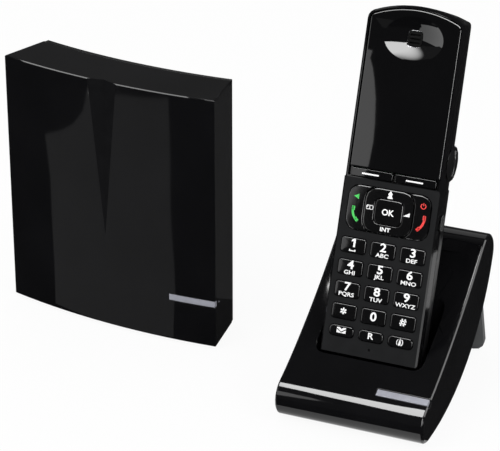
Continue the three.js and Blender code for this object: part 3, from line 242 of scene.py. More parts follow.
@dataclass(frozen=True)
class Finish:
    """A surface finish: a colour that wanders a little, a roughness that wanders, and a fine relief."""

    name: str
    colour: Triple
    roughness: float
    colour_wander: float = 0.15
    colour_scale: float = 60.0
    roughness_wander: float = 0.05
    roughness_scale: float = 40.0
    relief: float = 0.02
    relief_scale: float = 900.0
    relief_distance: float = 0.0001
    metallic: float = 0.0
    ior: float = 1.46
    specular: float = 0.5
    coat_roughness: float = 0.05

    def height(self, graph: Graph, where: Socket) -> Number:
        """The height of the fine relief: a plain grain."""
        return graph.noise(where, self.relief_scale, 2.0)

    def shade(self, graph: Graph, where: Socket) -> dict:
        """The varying inputs of the surface.

        Args:
            graph: The material's tree.
            where: Object coordinates.

        Returns:
            Inputs for the surface shader.
        """
        patch = graph.noise(where, self.colour_scale, 3.0)
        wear = graph.noise(where, self.roughness_scale, 5.0)
        low = tuple(c * (1 - self.colour_wander) for c in self.colour)
        high = tuple(min(1.0, c * (1 + self.colour_wander)) for c in self.colour)
        tone = graph.node("ShaderNodeValToRGB", {"Fac": patch}, stops=((0.3, low), (0.7, high)))
        rough = self.roughness + self.roughness_wander * (wear - 0.5)
        bump = graph.node(
            "ShaderNodeBump",
            {"Height": self.height(graph, where), "Strength": self.relief, "Distance": self.relief_distance},
        )
        return {"Base Color": tone.outputs[0], "Roughness": rough.clamped(), "Normal": bump.outputs[0]}

    def make(self) -> bpy.types.Material:
        """Build the material, once.

        Returns:
            The finished material.
        """
        known = bpy.data.materials.get(self.name)
        if known:
            return known
        material, graph = fresh_material(self.name)
        constants = {
            "Metallic": self.metallic,
            "IOR": self.ior,
            "Specular IOR Level": self.specular,
            "Coat Roughness": self.coat_roughness,
        }
        where = graph.node("ShaderNodeTexCoord").outputs["Object"]
        surface = graph.node("ShaderNodeBsdfPrincipled", {**constants, **self.shade(graph, where)})
        graph.node("ShaderNodeOutputMaterial", {"Surface": surface.outputs[0]})
        material.diffuse_color = (*self.colour, 1.0)
        return material


@dataclass(frozen=True)
class SparkFinish(Finish):
    """A spark-eroded plastic: small rounded pits all over."""

    relief_scale: float = 2600.0

    def height(self, graph: Graph, where: Socket) -> Number:
        """The pits."""
        return graph.cells(where, self.relief_scale)


@dataclass(frozen=True)
class FaceFinish(SparkFinish):
    """Matte plastic on the keypad, and polished black above the step and on the sides."""

    step: float = 0.0845
    soft: float = 0.0001
    facing: Point = (0.9, 0.985)
    gloss_colour: Triple = (0.004, 0.004, 0.0044)
    gloss_roughness: float = 0.16
    gloss_coat: float = 0.8

    def shade(self, graph: Graph, where: Socket) -> dict:
        """The matte finish on the face below the step, and the polished one elsewhere.

        Args:
            graph: The material's tree.
            where: Object coordinates.

        Returns:
            Inputs for the surface shader.
        """
        inputs = super().shade(graph, where)
        normal = graph.node("ShaderNodeTexCoord").outputs["Normal"]
        back = tuple(-c * MM for c in HANDSET_PLACE.origin)
        local = graph.node("ShaderNodeVectorMath", {0: where, 1: back}, operation="ADD").outputs[0]
        above = graph.dot(local, HANDSET_PLACE.up).step(self.step, self.step + self.soft)
        upper = 1 - graph.dot(normal, HANDSET_PLACE.out).step(*self.facing) * (1 - above)
        rough = inputs["Roughness"]
        return {
            **inputs,
            "Base Color": graph.mix(upper, inputs["Base Color"], self.gloss_colour),
            "Roughness": rough + upper * (self.gloss_roughness - rough),
            "Coat Weight": upper * self.gloss_coat,
        }


@dataclass(frozen=True)
class BrushedFinish(Finish):
    """A turned or brushed metal: fine lines across one direction."""

    relief_distance: float = 0.0002
    metallic: float = 1.0
    stretch: Triple = (40.0, 2200.0, 2200.0)

    def height(self, graph: Graph, where: Socket) -> Number:
        """The grain, drawn out along one axis."""
        turned = graph.node("ShaderNodeMapping", {"Vector": where, "Scale": self.stretch})
        return graph.noise(turned.outputs[0], 1.0, 3.0)


@dataclass(frozen=True)
class BoardFinish(Finish):
    """Green lacquer over copper tracks, with bare pads."""

    track_scale: float = 420.0
    track_edge: Point = (0.42, 0.5)
    pad_edge: Point = (0.10, 0.14)
    copper: Triple = (0.06, 0.28, 0.10)
    pad: Triple = (0.75, 0.62, 0.35)

    def shade(self, graph: Graph, where: Socket) -> dict:
        """Tracks and pads over the lacquer.

        Args:
            graph: The material's tree.
            where: Object coordinates.

        Returns:
            Inputs for the surface shader.
        """
        inputs = super().shade(graph, where)
        ring = graph.cells(where, self.track_scale, "MANHATTAN")
        under = graph.mix(1 - ring.step(*self.track_edge), inputs["Base Color"], self.copper)
        return {**inputs, "Base Color": graph.mix(1 - ring.step(*self.pad_edge), under, self.pad)}


class Finishes(Enum):
    """The finishes of the phone, each with the record's material slot.

    After its name, a finish lists its colour and roughness, how far and how finely the colour and then the
    roughness wander, and the strength and scale of its relief.
    """

    GLOSS_BLACK = "gloss_black", Finish(
        "gloss_black_plastic", (0.0035, 0.0035, 0.004), 0.05, 0.2, 30.0, 0.03, 55.0, 0.015, 160.0)
    WINDOW_BLACK = "gloss_black", Finish(
        "window_black_acrylic", (0.0022, 0.0022, 0.0025), 0.02, 0.1, 30.0, 0.01, 50.0, 0.004, 60.0)
    KEY_BLACK = "gloss_black", Finish(
        "key_black_gloss", (0.003, 0.003, 0.0033), 0.06, 0.2, 90.0, 0.03, 200.0, 0.02, 700.0)
    FACE_GREY = "matte_grey", FaceFinish(
        "matte_face_plastic", (0.0148, 0.0151, 0.0157), 0.5, 0.1, 120.0, 0.06, 200.0, 0.12, specular=0.0)
    # Painted shade: a flat dark colour with no gloss, laid over the base station's groove to stand in for its
    # shading.
    GROOVE_SHADE = "gloss_black", SparkFinish(
        "groove_painted_shade", (0.0065, 0.0065, 0.007), 0.7, 0.1, 120.0, 0.06, 200.0, 0.1, specular=0.0)
    GRILLE_BLACK = "matte_grey", SparkFinish(
        "grille_black_plastic", (0.004, 0.004, 0.004), 0.8, 0.2, 200.0, 0.1, 400.0, 0.2, specular=0.03)
    SIDE_BLACK = "matte_grey", SparkFinish(
        "satin_black_plastic", (0.006, 0.006, 0.0065), 0.3, 0.1, 120.0, 0.05, 200.0, 0.08)
    LEG_GREY = "leg_grey", SparkFinish(
        "matte_mid_grey_plastic", (0.125, 0.127, 0.13), 0.55, 0.1, 90.0, 0.05, 150.0, 0.15)
    LIGHT_BAR = "light_bar", Finish(
        "pale_grey_lens", (0.285, 0.29, 0.33), 0.25, 0.06, 200.0, 0.05, 90.0, 0.02, 500.0)
    RUBBER = "rubber_black", SparkFinish(
        "soft_black_rubber", (0.018, 0.018, 0.018), 0.8, 0.15, 150.0, 0.1, 300.0, 0.3, specular=0.3)
    BOARD = "board_green", BoardFinish(
        "green_board_lacquer", (0.015, 0.11, 0.04), 0.35, 0.1, 50.0, 0.05, 60.0, 0.05, 700.0)
    STEEL = "steel", BrushedFinish("satin_steel", (0.55, 0.55, 0.57), 0.3, 0.05, 90.0, 0.08, 200.0, 0.08)
    GOLD = "gold", BrushedFinish("gold_plating", (0.72, 0.52, 0.2), 0.25, 0.05, 90.0, 0.06, 200.0, 0.05)
    BATTERY = "battery_wrap", Finish(
        "battery_shrink_film", (0.04, 0.07, 0.22), 0.22, 0.12, 80.0, 0.05, 100.0, 0.05, 300.0)
    PANEL = "panel_grey", Finish(
        "unlit_display", (0.012, 0.014, 0.016), 0.15, 0.1, 60.0, 0.03, 60.0, 0.01, 200.0)
    WHITE_INK = "gloss_black", Finish(
        "white_key_print", (0.88, 0.88, 0.88), 0.45, 0.04, 300.0, 0.05, 300.0, 0.05, 1500.0)
    GREEN_INK = "gloss_black", Finish(
        "green_key_print", (0.05, 0.55, 0.09), 0.4, 0.1, 300.0, 0.05, 300.0, 0.05, 1500.0)
    RED_INK = "gloss_black", Finish(
        "red_key_print", (0.78, 0.03, 0.025), 0.4, 0.1, 300.0, 0.05, 300.0, 0.05, 1500.0)

    @property
    def slot(self) -> str:
        """The record's slot that the finish fills."""
        return self.value[0]

    def material(self) -> bpy.types.Material:
        """The Blender material."""
        return self.value[1].make()


# Outlines


def rounded_rectangle(width: float, height: float, radius: float, steps: int = 6) -> list[Point]:
    """Corners of a rounded rectangle about the origin, anticlockwise.

    Args:
        width: Full width.
        height: Full height.
        radius: Corner radius.
        steps: Segments in each corner.

    Returns:
        The outline's points.
    """
    radius = max(min(radius, width / 2, height / 2), 0.01)
    outline: list[Point] = []
    for corner, (sx, sy) in enumerate([(1, 1), (-1, 1), (-1, -1), (1, -1)]):
        x, y = sx * (width / 2 - radius), sy * (height / 2 - radius)
        outline += arc(x, y, radius, 90 * corner, 90 * (corner + 1), steps)
    return outline


def arc(x: float, y: float, radius: float, start: float, end: float, steps: int = 14) -> list[Point]:
    """Points on an arc about a middle, with angles in degrees."""
    angles = [math.radians(start + (end - start) * i / steps) for i in range(steps + 1)]
    return [(x + radius * math.cos(angle), y + radius * math.sin(angle)) for angle in angles]


def rounded(corners: Sequence[Triple], steps: int = 6) -> list[Point]:
    """Outline through corners that each have a fillet radius.

    Args:
        corners: Place and fillet radius of each corner, anticlockwise.
        steps: Segments in each fillet.

    Returns:
        The outline's points.
    """
    outline: list[Point] = []
    for i, (x, y, radius) in enumerate(corners):
        if radius <= 0:
            outline.append((x, y))
            continue
        here = Vector((x, y))
        before = (Vector(corners[i - 1][:2]) - here).normalized()
        after = (Vector(corners[(i + 1) % len(corners)][:2]) - here).normalized()
        half = before.angle(after) / 2
        centre = here + (before + after).normalized() * radius / math.sin(half)
        start = here + before * radius / math.tan(half) - centre
        end = here + after * radius / math.tan(half) - centre
        low = math.atan2(start.y, start.x)
        sweep = (math.atan2(end.y, end.x) - low + math.pi) % (2 * math.pi) - math.pi
        for k in range(steps + 1):
            angle = low + sweep * k / steps
            outline.append((centre.x + radius * math.cos(angle), centre.y + radius * math.sin(angle)))
    return outline


def divided(outline: Sequence[Point], pitch: float) -> list[Point]:
    """Cut an outline's long sides into steps.

    Args:
        outline: The closed outline.
        pitch: The longest step.

    Returns:
        The finer outline.
    """
    fine: list[Point] = []
    for (ax, ay), (bx, by) in zip(outline, [*outline[1:], outline[0]]):
        count = max(1, math.ceil(math.hypot(bx - ax, by - ay) / pitch))
        fine += [(ax + (bx - ax) * k / count, ay + (by - ay) * k / count) for k in range(count)]
    return fine


def sideways(start: Point, end: Point, distance: float) -> Point:
    """A step to the left of the way between two points.

    Args:
        start: Where the way begins.
        end: Where it ends.
        distance: Length of the step.

    Returns:
        The step.
    """
    across, up = end[0] - start[0], end[1] - start[1]
    length = math.hypot(across, up)
    return -up / length * distance, across / length * distance


def inset(outline: Sequence[Point], distance: float) -> list[Point]:
    """Move an outline inwards, point by point.

    Args:
        outline: The closed outline, anticlockwise.
        distance: A distance that is small against its curves.

    Returns:
        The outline, with as many points as before.
    """
    moved: list[Point] = []
    for i, (x, y) in enumerate(outline):
        dx, dy = sideways(outline[i - 1], outline[(i + 1) % len(outline)], distance)
        moved.append((x + dx, y + dy))
    return moved


def stroke(points: Sequence[Point], width: float) -> list[Point]:
    """Outline of a line of even width through the points.

    Args:
        points: The line's points, in order.
        width: The line's width.

    Returns:
        The closed outline.
    """
    left: list[Point] = []
    right: list[Point] = []
    for i, (x, y) in enumerate(points):
        dx, dy = sideways(points[max(i - 1, 0)], points[min(i + 1, len(points) - 1)], width / 2)
        left.append((x + dx, y + dy))
        right.append((x - dx, y - dy))
    return left[::-1] + right


def receiver(ear: Point, mouth: Point, bulge: float) -> list[list[Point]]:
    """A telephone receiver's outlines: a bent bar with thick ends on its hollow side.

    Args:
        ear: Middle of the ear's end.
        mouth: Middle of the mouth's end.
        bulge: How far the bar's middle stands off the line between them, to its left.

    Returns:
        The outlines.
    """
    bar_width, end_width, end_rise, steps, end_points = 1.1, 1.25, 0.35, 12, 4
    (ax, ay), (bx, by) = ear, mouth
    nx, ny = sideways(ear, mouth, 1.0)
    spine = []
    for t in (i / steps for i in range(steps + 1)):
        off = bulge * 4 * t * (1 - t)
        spine.append((ax + (bx - ax) * t + nx * off, ay + (by - ay) * t + ny * off))
    outlines = [stroke(spine, bar_width)]
    side = -math.copysign(end_rise, bulge)
    for part in (spine[:end_points], spine[-end_points:]):
        outlines.append(stroke([(x + nx * side, y + ny * side) for x, y in part], end_width))
    return outlines


# Meshes


def placed(name: str, data: bpy.types.ID) -> bpy.types.Object:
    """A new object in the scene.

    Args:
        name: Its name.
        data: Its mesh, curve, light or camera.

    Returns:
        The object.
    """
    thing = bpy.data.objects.new(name, data)
    bpy.context.scene.collection.objects.link(thing)
    return thing


def evaluated(thing: bpy.types.Object) -> Mesh:
    """The plain mesh that an object's modifiers give.

    Args:
        thing: The object; it and its own data are removed.

    Returns:
        The mesh.
    """
    bpy.context.view_layer.update()
    made = bpy.data.meshes.new_from_object(thing.evaluated_get(bpy.context.evaluated_depsgraph_get()))
    thing.modifiers.clear()
    bpy.data.batch_remove([thing, thing.data])
    return made


def finished(work: bmesh.types.BMesh, place: Place | None = None) -> Mesh:
    """What was worked on, as a mesh whose faces look outwards.

    Args:
        work: The faces and corners; they are freed.
        place: The local frame that they are in, if it isn't the part's.

    Returns:
        The mesh, in metres.
    """
    if place:
        bmesh.ops.transform(work, matrix=place.matrix(), verts=work.verts)
    bmesh.ops.recalc_face_normals(work, faces=work.faces)
    mesh = bpy.data.meshes.new("mesh")
    work.to_mesh(mesh)
    work.free()
    return mesh


def loft(rings: Sequence[Sequence[Triple]], place: Place, looped: bool = False) -> Mesh:
    """Closed mesh through rings of equal length.

    Args:
        rings: Rings of local points in millimetres, anticlockwise from the end that they rise to.
        place: The local frame.
        looped: Whether the last ring joins the first, instead of a face at both ends.

    Returns:
        The mesh, in metres.
    """
    work = bmesh.new()
    loops = [[work.verts.new(point) for point in ring] for ring in rings]
    for low, high in zip(loops, [*loops[1:], loops[0]] if looped else loops[1:]):
        for i in range(len(low)):
            j = (i + 1) % len(low)
            work.faces.new((low[i], low[j], high[j], high[i]))
    if not looped:
        work.faces.new(loops[0][::-1])
        work.faces.new(loops[-1])
    return finished(work, place)


def joined(meshes: Iterable[Mesh]) -> Mesh:
    """One mesh from several.

    Args:
        meshes: The meshes; they are removed.

    Returns:
        The whole.
    """
    work = bmesh.new()
    for mesh in meshes:
        work.from_mesh(mesh)
        bpy.data.meshes.remove(mesh)
    return finished(work)


def plates(outlines: Iterable[Sequence[Point]], low: float, high: float, place: Place) -> Mesh:
    """Flat closed plates with the given outlines, from a low to a high level, as one mesh."""
    return joined(loft([[(x, y, n) for x, y in outline] for n in (low, high)], place) for outline in outlines)


@dataclass(frozen=True)
class Roll:
    """Rolled edges of a moulding, in millimetres and degrees."""

    width: float
    above: float = 30.0
    flat: float = 0.0
    segments: int = 2


def rolled(mesh: Mesh, roll: Roll | None, smooth: float) -> Mesh:
    """Shade a mesh by its large faces, with its sharp edges rolled as a mould does.

    Args:
        mesh: The mesh to finish; it is removed.
        roll: The size of the rolled edges, if there are any.
        smooth: Creases of more degrees than this, and not rolled, stay sharp.

    Returns:
        The finished mesh.
    """
    work = bmesh.new()
    work.from_mesh(mesh)
    if roll and roll.flat > 0:
        flat = math.radians(roll.flat)
        bmesh.ops.dissolve_limit(work, angle_limit=flat, verts=work.verts, edges=work.edges)
    above = roll.above if roll else 360.0
    for face in work.faces:
        face.smooth = True
    for edge in work.edges:
        edge.smooth = not smooth < math.degrees(edge.calc_face_angle(0.0)) < above
    work.to_mesh(mesh)
    work.free()
    thing = placed("rolled", mesh)
    if roll:
        bevel = thing.modifiers.new("edges", "BEVEL")
        bevel.limit_method = "ANGLE"
        bevel.angle_limit = math.radians(above)
        bevel.width = roll.width * MM
        bevel.segments = roll.segments
        bevel.use_clamp_overlap = False
        bevel.miter_outer = "MITER_ARC"
    thing.modifiers.new("shading", "WEIGHTED_NORMAL").keep_sharp = True
    return evaluated(thing)


def cut(mesh: Mesh, tool: Mesh) -> Mesh:
    """Cut one closed mesh out of another.

    Args:
        mesh: The mesh to cut; it is removed.
        tool: What is cut out of it; it is removed.

    Returns:
        What is left.
    """
    whole, knife = placed("whole", mesh), placed("knife", tool)
    boolean = whole.modifiers.new("cut", "BOOLEAN")
    boolean.operation = "DIFFERENCE"
    boolean.solver = "EXACT"
    boolean.object = knife
    made = evaluated(whole)
    bpy.data.batch_remove([knife, tool])
    return made


# Pieces


def piece(name: str, mesh: Mesh, finish: Finishes, body: str, *replaced: str) -> None:
    """Turn a mesh in the part's frame into a piece that rides on a body.

    Args:
        name: The piece's name.
        mesh: Its mesh, in metres.
        finish: Its finish.
        body: The body that carries it.
        replaced: CAD nodes that it stands for.
    """
    mesh.name = name
    mesh.materials.clear()
    mesh.materials.append(finish.material())
    made = placed(name, mesh)
    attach(made, body)
    finish.slot
    if replaced:
        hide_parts(*replaced)
    log.info("piece %s on %s, %d faces", name, body, len(mesh.polygons))


def moulded(
    node: str, finish: Finishes, body: str, smooth: float, roll: Roll | None = None, tool: Mesh | None = None
) -> None:
    """A smooth piece in place of a CAD node.

    Args:
        node: The CAD node that it stands for.
        finish: Its finish.
        body: The body that carries it.
        smooth: Edges under this many degrees are shaded smooth.
        roll: Its rolled edges, if it has any.
        tool: What is cut out of it first.
    """
    mesh = frame["nodes"][node].data.copy()
    work = bmesh.new()
    work.from_mesh(mesh)
    bmesh.ops.remove_doubles(work, verts=work.verts, dist=MERGE)
    bmesh.ops.dissolve_degenerate(work, edges=work.edges, dist=MERGE)
    work.to_mesh(mesh)
    work.free()
    if tool:
        mesh = cut(mesh, tool)
    piece(node + "_moulding", rolled(mesh, roll, smooth), finish, body, node)


def lofted(name: str, mesh: Mesh, crease: float, finish: Finishes, body: str, node: str) -> None:
    """A lofted piece in place of a CAD node, shaded smooth.

    Args:
        name: The piece's name.
        mesh: Its mesh, in metres.
        crease: Edges of more degrees than this stay sharp.
        finish: Its finish.
        body: The body that carries it.
        node: The CAD node that it stands for.
    """
    mesh.shade_smooth()
    mesh.set_sharp_from_angle(angle=math.radians(crease))
    piece(name, mesh, finish, body, node)


def dress(kept: dict[Finishes, Sequence[str]]) -> None:
    """Give the CAD nodes that stay their finish.

    Args:
        kept: The nodes that each finish is for.
    """
    for finish, nodes in kept.items():
        for node in nodes:
            materials = frame["nodes"][node].data.materials
            materials.clear()
            materials.append(finish.material())


@dataclass(frozen=True)
class Grid:
    """One rounded shape repeated on a grid by Geometry Nodes, in millimetres."""

    columns: int
    rows: int
    pitch: Point
    size: Triple
    barrel: bool = False

    def shape(self, graph: Graph) -> Socket:
        """The shape that repeats, one millimetre in size.

        Args:
            graph: The tree to build in.

        Returns:
            The output with a bead, or with a bar along the second axis that thins at its ends.
        """
        if not self.barrel:
            bead = {"Segments": 8, "Rings": 5, "Radius": 0.5}
            return graph.node("GeometryNodeMeshUVSphere", bead).outputs["Mesh"]
        ends = {"Start": (0.0, -0.5, 0.0), "End": (0.0, 0.5, 0.0)}
        line = graph.node("GeometryNodeCurvePrimitiveLine", ends)
        fine = graph.node("GeometryNodeResampleCurve", {"Curve": line.outputs[0], "Count": 9})
        along = 2 * graph.number(graph.node("GeometryNodeSplineParameter"), "Factor") - 1
        off = along.maths("POWER", along.maths("ABSOLUTE", along), 8.0)
        radius = off.maths("SQRT", 1.1 - off)
        spine = graph.node("GeometryNodeSetCurveRadius", {"Curve": fine.outputs[0], "Radius": radius})
        ring = graph.node("GeometryNodeCurvePrimitiveCircle", {"Resolution": 8, "Radius": 0.5})
        tube = {"Curve": spine.outputs[0], "Profile Curve": ring.outputs[0], "Fill Caps": True}
        return graph.node("GeometryNodeCurveToMesh", tube).outputs[0]

    def tree(self) -> bpy.types.NodeTree:
        """The node tree, with an input for each size.

        Returns:
            A new geometry node tree.
        """
        tree = bpy.data.node_groups.new("repeat", "GeometryNodeTree")
        kinds = {"Columns": "Int", "Rows": "Int", "Pitch Across": "Float", "Pitch Up": "Float",
                 "Size": "Vector", "Finish": "Material"}
        for name, kind in kinds.items():
            tree.interface.new_socket(name, in_out="INPUT", socket_type="NodeSocket" + kind)
        tree.interface.new_socket("Geometry", in_out="OUTPUT", socket_type="NodeSocketGeometry")
        graph = Graph(tree)
        given = graph.node("NodeGroupInput")
        columns, rows, across, up = (graph.number(given, i) for i in range(4))
        wide, high = across * (columns - 1), up * (rows - 1)
        span = {"Size X": wide, "Size Y": high, "Vertices X": columns, "Vertices Y": rows}
        points = graph.node("GeometryNodeMeshGrid", span).outputs["Mesh"]
        copies = {"Points": points, "Instance": self.shape(graph), "Scale": given.outputs["Size"]}
        repeated = graph.node("GeometryNodeInstanceOnPoints", copies)
        whole = graph.node("GeometryNodeRealizeInstances", {"Geometry": repeated.outputs[0]})
        dressing = {"Geometry": whole.outputs[0], "Material": given.outputs["Finish"]}
        dressed = graph.node("GeometryNodeSetMaterial", dressing)
        graph.node("NodeGroupOutput", {"Geometry": dressed.outputs[0]})
        return tree

    def mesh(self, finish: Finishes, middle: Triple, place: Place) -> Mesh:
        """The grid as a plain mesh.

        Args:
            finish: Its finish.
            middle: The grid's middle, in local millimetres.
            place: The local frame.

        Returns:
            The mesh, in metres.
        """
        values = {
            "Columns": self.columns,
            "Rows": self.rows,
            "Pitch Across": self.pitch[0],
            "Pitch Up": self.pitch[1],
            "Size": self.size,
            "Finish": finish.material(),
        }
        holder = placed("repeat", bpy.data.meshes.new("repeat"))
        modifier = holder.modifiers.new("repeat", "NODES")
        modifier.node_group = self.tree()
        for item in modifier.node_group.interface.items_tree:
            if item.in_out == "INPUT":
                modifier[item.identifier] = values[item.name]
        made = evaluated(holder)
        made.transform(place.matrix() @ Matrix.Translation(middle))
        made.shade_smooth()
        return made


@dataclass(frozen=True)
class Print:
    """Printed words and signs on the handset's keys, as thin raised plates between two levels."""

    low: float
    high: float
    capital: float = 0.72
    curve_steps: int = 3
    merge: float = 1e-7

    def words(self, text: str, size: float, x: float, y: float, bold: float, wide: float = 1.0) -> Mesh:
        """A word as a mesh.

        Args:
            text: The characters.
            size: Height of a capital, in millimetres.
            x: Middle across.
            y: Middle up.
            bold: How far the strokes are thickened, as a share of the size.
            wide: How much wider than the plain typeface.

        Returns:
            The mesh, in metres.
        """
        curve = bpy.data.curves.new("words", "FONT")
        curve.body = text
        curve.align_x = "CENTER"
        curve.align_y = "CENTER"
        curve.size = size / self.capital
        curve.offset = bold * size
        curve.extrude = (self.high - self.low) / 2
        curve.resolution_u = self.curve_steps
        mesh = evaluated(placed("words", curve))
        xs = [v.co.x for v in mesh.vertices]
        ys = [v.co.y for v in mesh.vertices]
        middle = Vector(((min(xs) + max(xs)) / 2, (min(ys) + max(ys)) / 2, 0))
        centred = Matrix.Diagonal((wide, 1.0, 1.0, 1.0)) @ Matrix.Translation(-middle)
        shift = Matrix.Translation(Vector((x, y, (self.low + self.high) / 2)))
        mesh.transform(HANDSET_PLACE.matrix() @ shift @ centred)
        work = bmesh.new()
        work.from_mesh(mesh)
        bmesh.ops.remove_doubles(work, verts=work.verts, dist=self.merge)
        return finished(work)

    def signs(self, outlines: Iterable[Sequence[Point]], x: float = 0.0, y: float = 0.0) -> Mesh:
        """Drawn signs as a mesh, with their outlines about the given middle."""
        moved = [[(x + px, y + py) for px, py in outline] for outline in outlines]
        return plates(moved, self.low, self.high, HANDSET_PLACE)


# Studio


def level(height: float, outline: Sequence[Point]) -> list[Triple]:
    """Corners of a card that lies level, in metres."""
    return [(x, y, height) for x, y in outline]


def oblong(left: float, right: float, near: float, far: float) -> list[Point]:
    """Corners of an oblong along the axes."""
    return [(left, near), (right, near), (right, far), (left, far)]


def upright(start: Point, end: Point, low: float, high: float, lean: Point = (0.0, 0.0)) -> list[Triple]:
    """Corners of a card that stands on a line.

    Args:
        start: Where the line begins.
        end: Where it ends.
        low: Height of the card's foot.
        high: Height of its top.
        lean: How far the top is moved from above the foot.

    Returns:
        The corners, in metres.
    """
    (ax, ay), (bx, by), (dx, dy) = start, end, lean
    return [(ax, ay, low), (bx, by, low), (bx + dx, by + dy, high), (ax + dx, ay + dy, high)]


@dataclass(frozen=True)
class Fade:
    """How a card's brightness rises along a direction, from its least share to all of it."""

    way: Triple
    start: float
    end: float
    least: float


@dataclass
class Studio:
    """Camera, floor, surroundings and lamps, in metres and degrees."""

    eye: Triple = (0.3348, -0.9187, 0.5674)
    yaw: float = 23.263
    pitch: float = 25.552
    roll: float = 0.05
    lens: float = 168.588
    sensor: float = 36.0
    clip: Point = (0.05, 20.0)
    floor_size: float = 6.0
    floor_colour: Triple = (0.8, 0.8, 0.8)
    floor_white: float = 0.93
    floor_mirrored: float = 0.02
    fill: float = 0.85
    mirrored: float = 0.05
    white: Triple = (1.0, 1.0, 1.0)
    target: Triple = (0.0, 0.0, 0.08)

    def camera(self) -> None:
        """The camera at the photograph's viewing angle."""
        data = bpy.data.cameras.new("camera")
        data.sensor_width = self.sensor
        data.lens = self.lens
        data.clip_start, data.clip_end = self.clip
        thing = placed("camera", data)
        turns = ((self.yaw, "Z"), (90 - self.pitch, "X"), (self.roll, "Z"))
        yaw, pitch, roll = (Matrix.Rotation(math.radians(angle), 4, axis) for angle, axis in turns)
        thing.matrix_world = Matrix.Translation(self.eye) @ (yaw @ pitch @ roll)
        bpy.context.scene.camera = thing

    def seen(self, graph: Graph) -> tuple[Number, Number]:
        """Masks for rays that see the surroundings directly, and for those that mirror them.

        Args:
            graph: A material's or the world's tree.

        Returns:
            The camera ray mask, and the mask of glossy and transmission rays.
        """
        path = graph.node("ShaderNodeLightPath")
        mirror = (graph.number(path, "Is Glossy Ray") + graph.number(path, "Is Transmission Ray")).clamped()
        return graph.number(path, "Is Camera Ray"), mirror

    def surroundings(self) -> None:
        """White to the camera, soft fill for the surfaces, dim in the gloss."""
        world = bpy.data.worlds.new("studio")
        bpy.context.scene.world = world
        world.use_nodes = True
        graph = Graph(world.node_tree)
        camera, mirror = self.seen(graph)
        strength = camera + (1 - camera) * (mirror * self.mirrored + (1 - mirror) * self.fill)
        light = graph.node("ShaderNodeBackground", {"Color": self.white, "Strength": strength})
        graph.node("ShaderNodeOutputWorld", {"Surface": light.outputs[0]})

    def floor(self) -> None:
        """A plain pale floor that keeps a soft shadow."""
        half = self.floor_size / 2
        material, graph = fresh_material("pale_floor")
        camera, mirror = self.seen(graph)
        paint = graph.node("ShaderNodeBsdfDiffuse", {"Color": self.floor_colour})
        glow = {"Color": self.white, "Strength": camera + mirror * self.floor_mirrored}
        white = graph.node("ShaderNodeEmission", glow)
        share = (camera * self.floor_white + mirror).clamped()
        both = graph.node("ShaderNodeMixShader", {0: share, 1: paint.outputs[0], 2: white.outputs[0]})
        graph.node("ShaderNodeOutputMaterial", {"Surface": both.outputs[0]})
        self.sheet("floor", level(0.0, oblong(-half, half, -half, half)), material)

    def sheet(self, name: str, corners: Sequence[Triple], material: bpy.types.Material) -> bpy.types.Object:
        """A flat sheet that belongs to the studio.

        Args:
            name: The sheet's name.
            corners: Its outline in metres.
            material: Its material.

        Returns:
            The sheet.
        """
        mesh = bpy.data.meshes.new(name)
        mesh.from_pydata(corners, [], [tuple(range(len(corners)))])
        mesh.materials.append(material)
        thing = placed(name, mesh)
        return thing

    def lamp(self, name: str, place: Triple, size: Point, power: float) -> None:
        """A soft box that faces the phone and that gloss doesn't show.

        Args:
            name: The lamp's name.
            place: Where it stands, in metres.
            size: Width and height.
            power: Watts.
        """
        data = bpy.data.lights.new(name, "AREA")
        data.shape = "RECTANGLE"
        data.size, data.size_y = size
        data.energy = power
        thing = placed(name, data)
        thing.location = place
        thing.rotation_euler = (Vector(self.target) - Vector(place)).to_track_quat("-Z", "Y").to_euler()
        thing.visible_camera = False
        thing.visible_glossy = False

    def card(self, name: str, corners: Sequence[Triple], strength: float, fade: Fade | None = None) -> None:
        """A glowing card that only gloss shows.

        Args:
            name: The card's name.
            corners: Its outline in metres.
            strength: Its brightness, where 1 is white.
            fade: How its brightness falls off, if it does.
        """
        material, graph = fresh_material(name)
        light: object = strength
        if fade:
            where = graph.node("ShaderNodeTexCoord").outputs["Object"]
            share = graph.dot(where, fade.way).step(fade.start, fade.end)
            light = strength * (fade.least + (1 - fade.least) * share)
        glow = graph.node("ShaderNodeEmission", {"Color": self.white, "Strength": light})
        graph.node("ShaderNodeOutputMaterial", {"Surface": glow.outputs[0]})
        thing = self.sheet(name, corners, material)
        for rays in ("camera", "diffuse", "transmission", "volume_scatter", "shadow"):
            setattr(thing, "visible_" + rays, False)

    def roof(self) -> None:
        """The cards overhead, whose edges draw the arcs in the dish, the scoop and the nose."""
        outline = [(-0.165, -0.120), (-0.133, -0.139), (-0.118, -0.176), (-0.101, -0.192), (-0.089, -0.220),
                   (-0.076, -0.241), (-0.040, -0.217), (-0.004, -0.204), (0.035, -0.184), (0.067, -0.156),
                   (0.100, -0.136), (0.100, -0.012), (-0.020, -0.0075), (-0.050, -0.0075), (-0.060, -0.026),
                   (-0.165, -0.030)]
        self.card("roof_box", level(0.310, outline), 17.0, Fade((1.0, 0.0, 0.0), -0.165, -0.135, 0.35))
        shade = level(0.185, [(-0.0089, 0.0285), (-0.0059, 0.0425), (-0.025, 0.0425), (-0.025, 0.0285)])
        self.card("roof_shade", shade, 17.0, Fade((1.0, -0.215, 0.0), -0.0165, -0.0152, 0.01))
        self.card("roof_box_left", level(0.278, oblong(-0.352, -0.165, -0.055, 0.012)), 6.0)
        self.card("rear_roof", level(0.6, oblong(-0.5, 0.3, 0.22, 0.9)), 0.8)

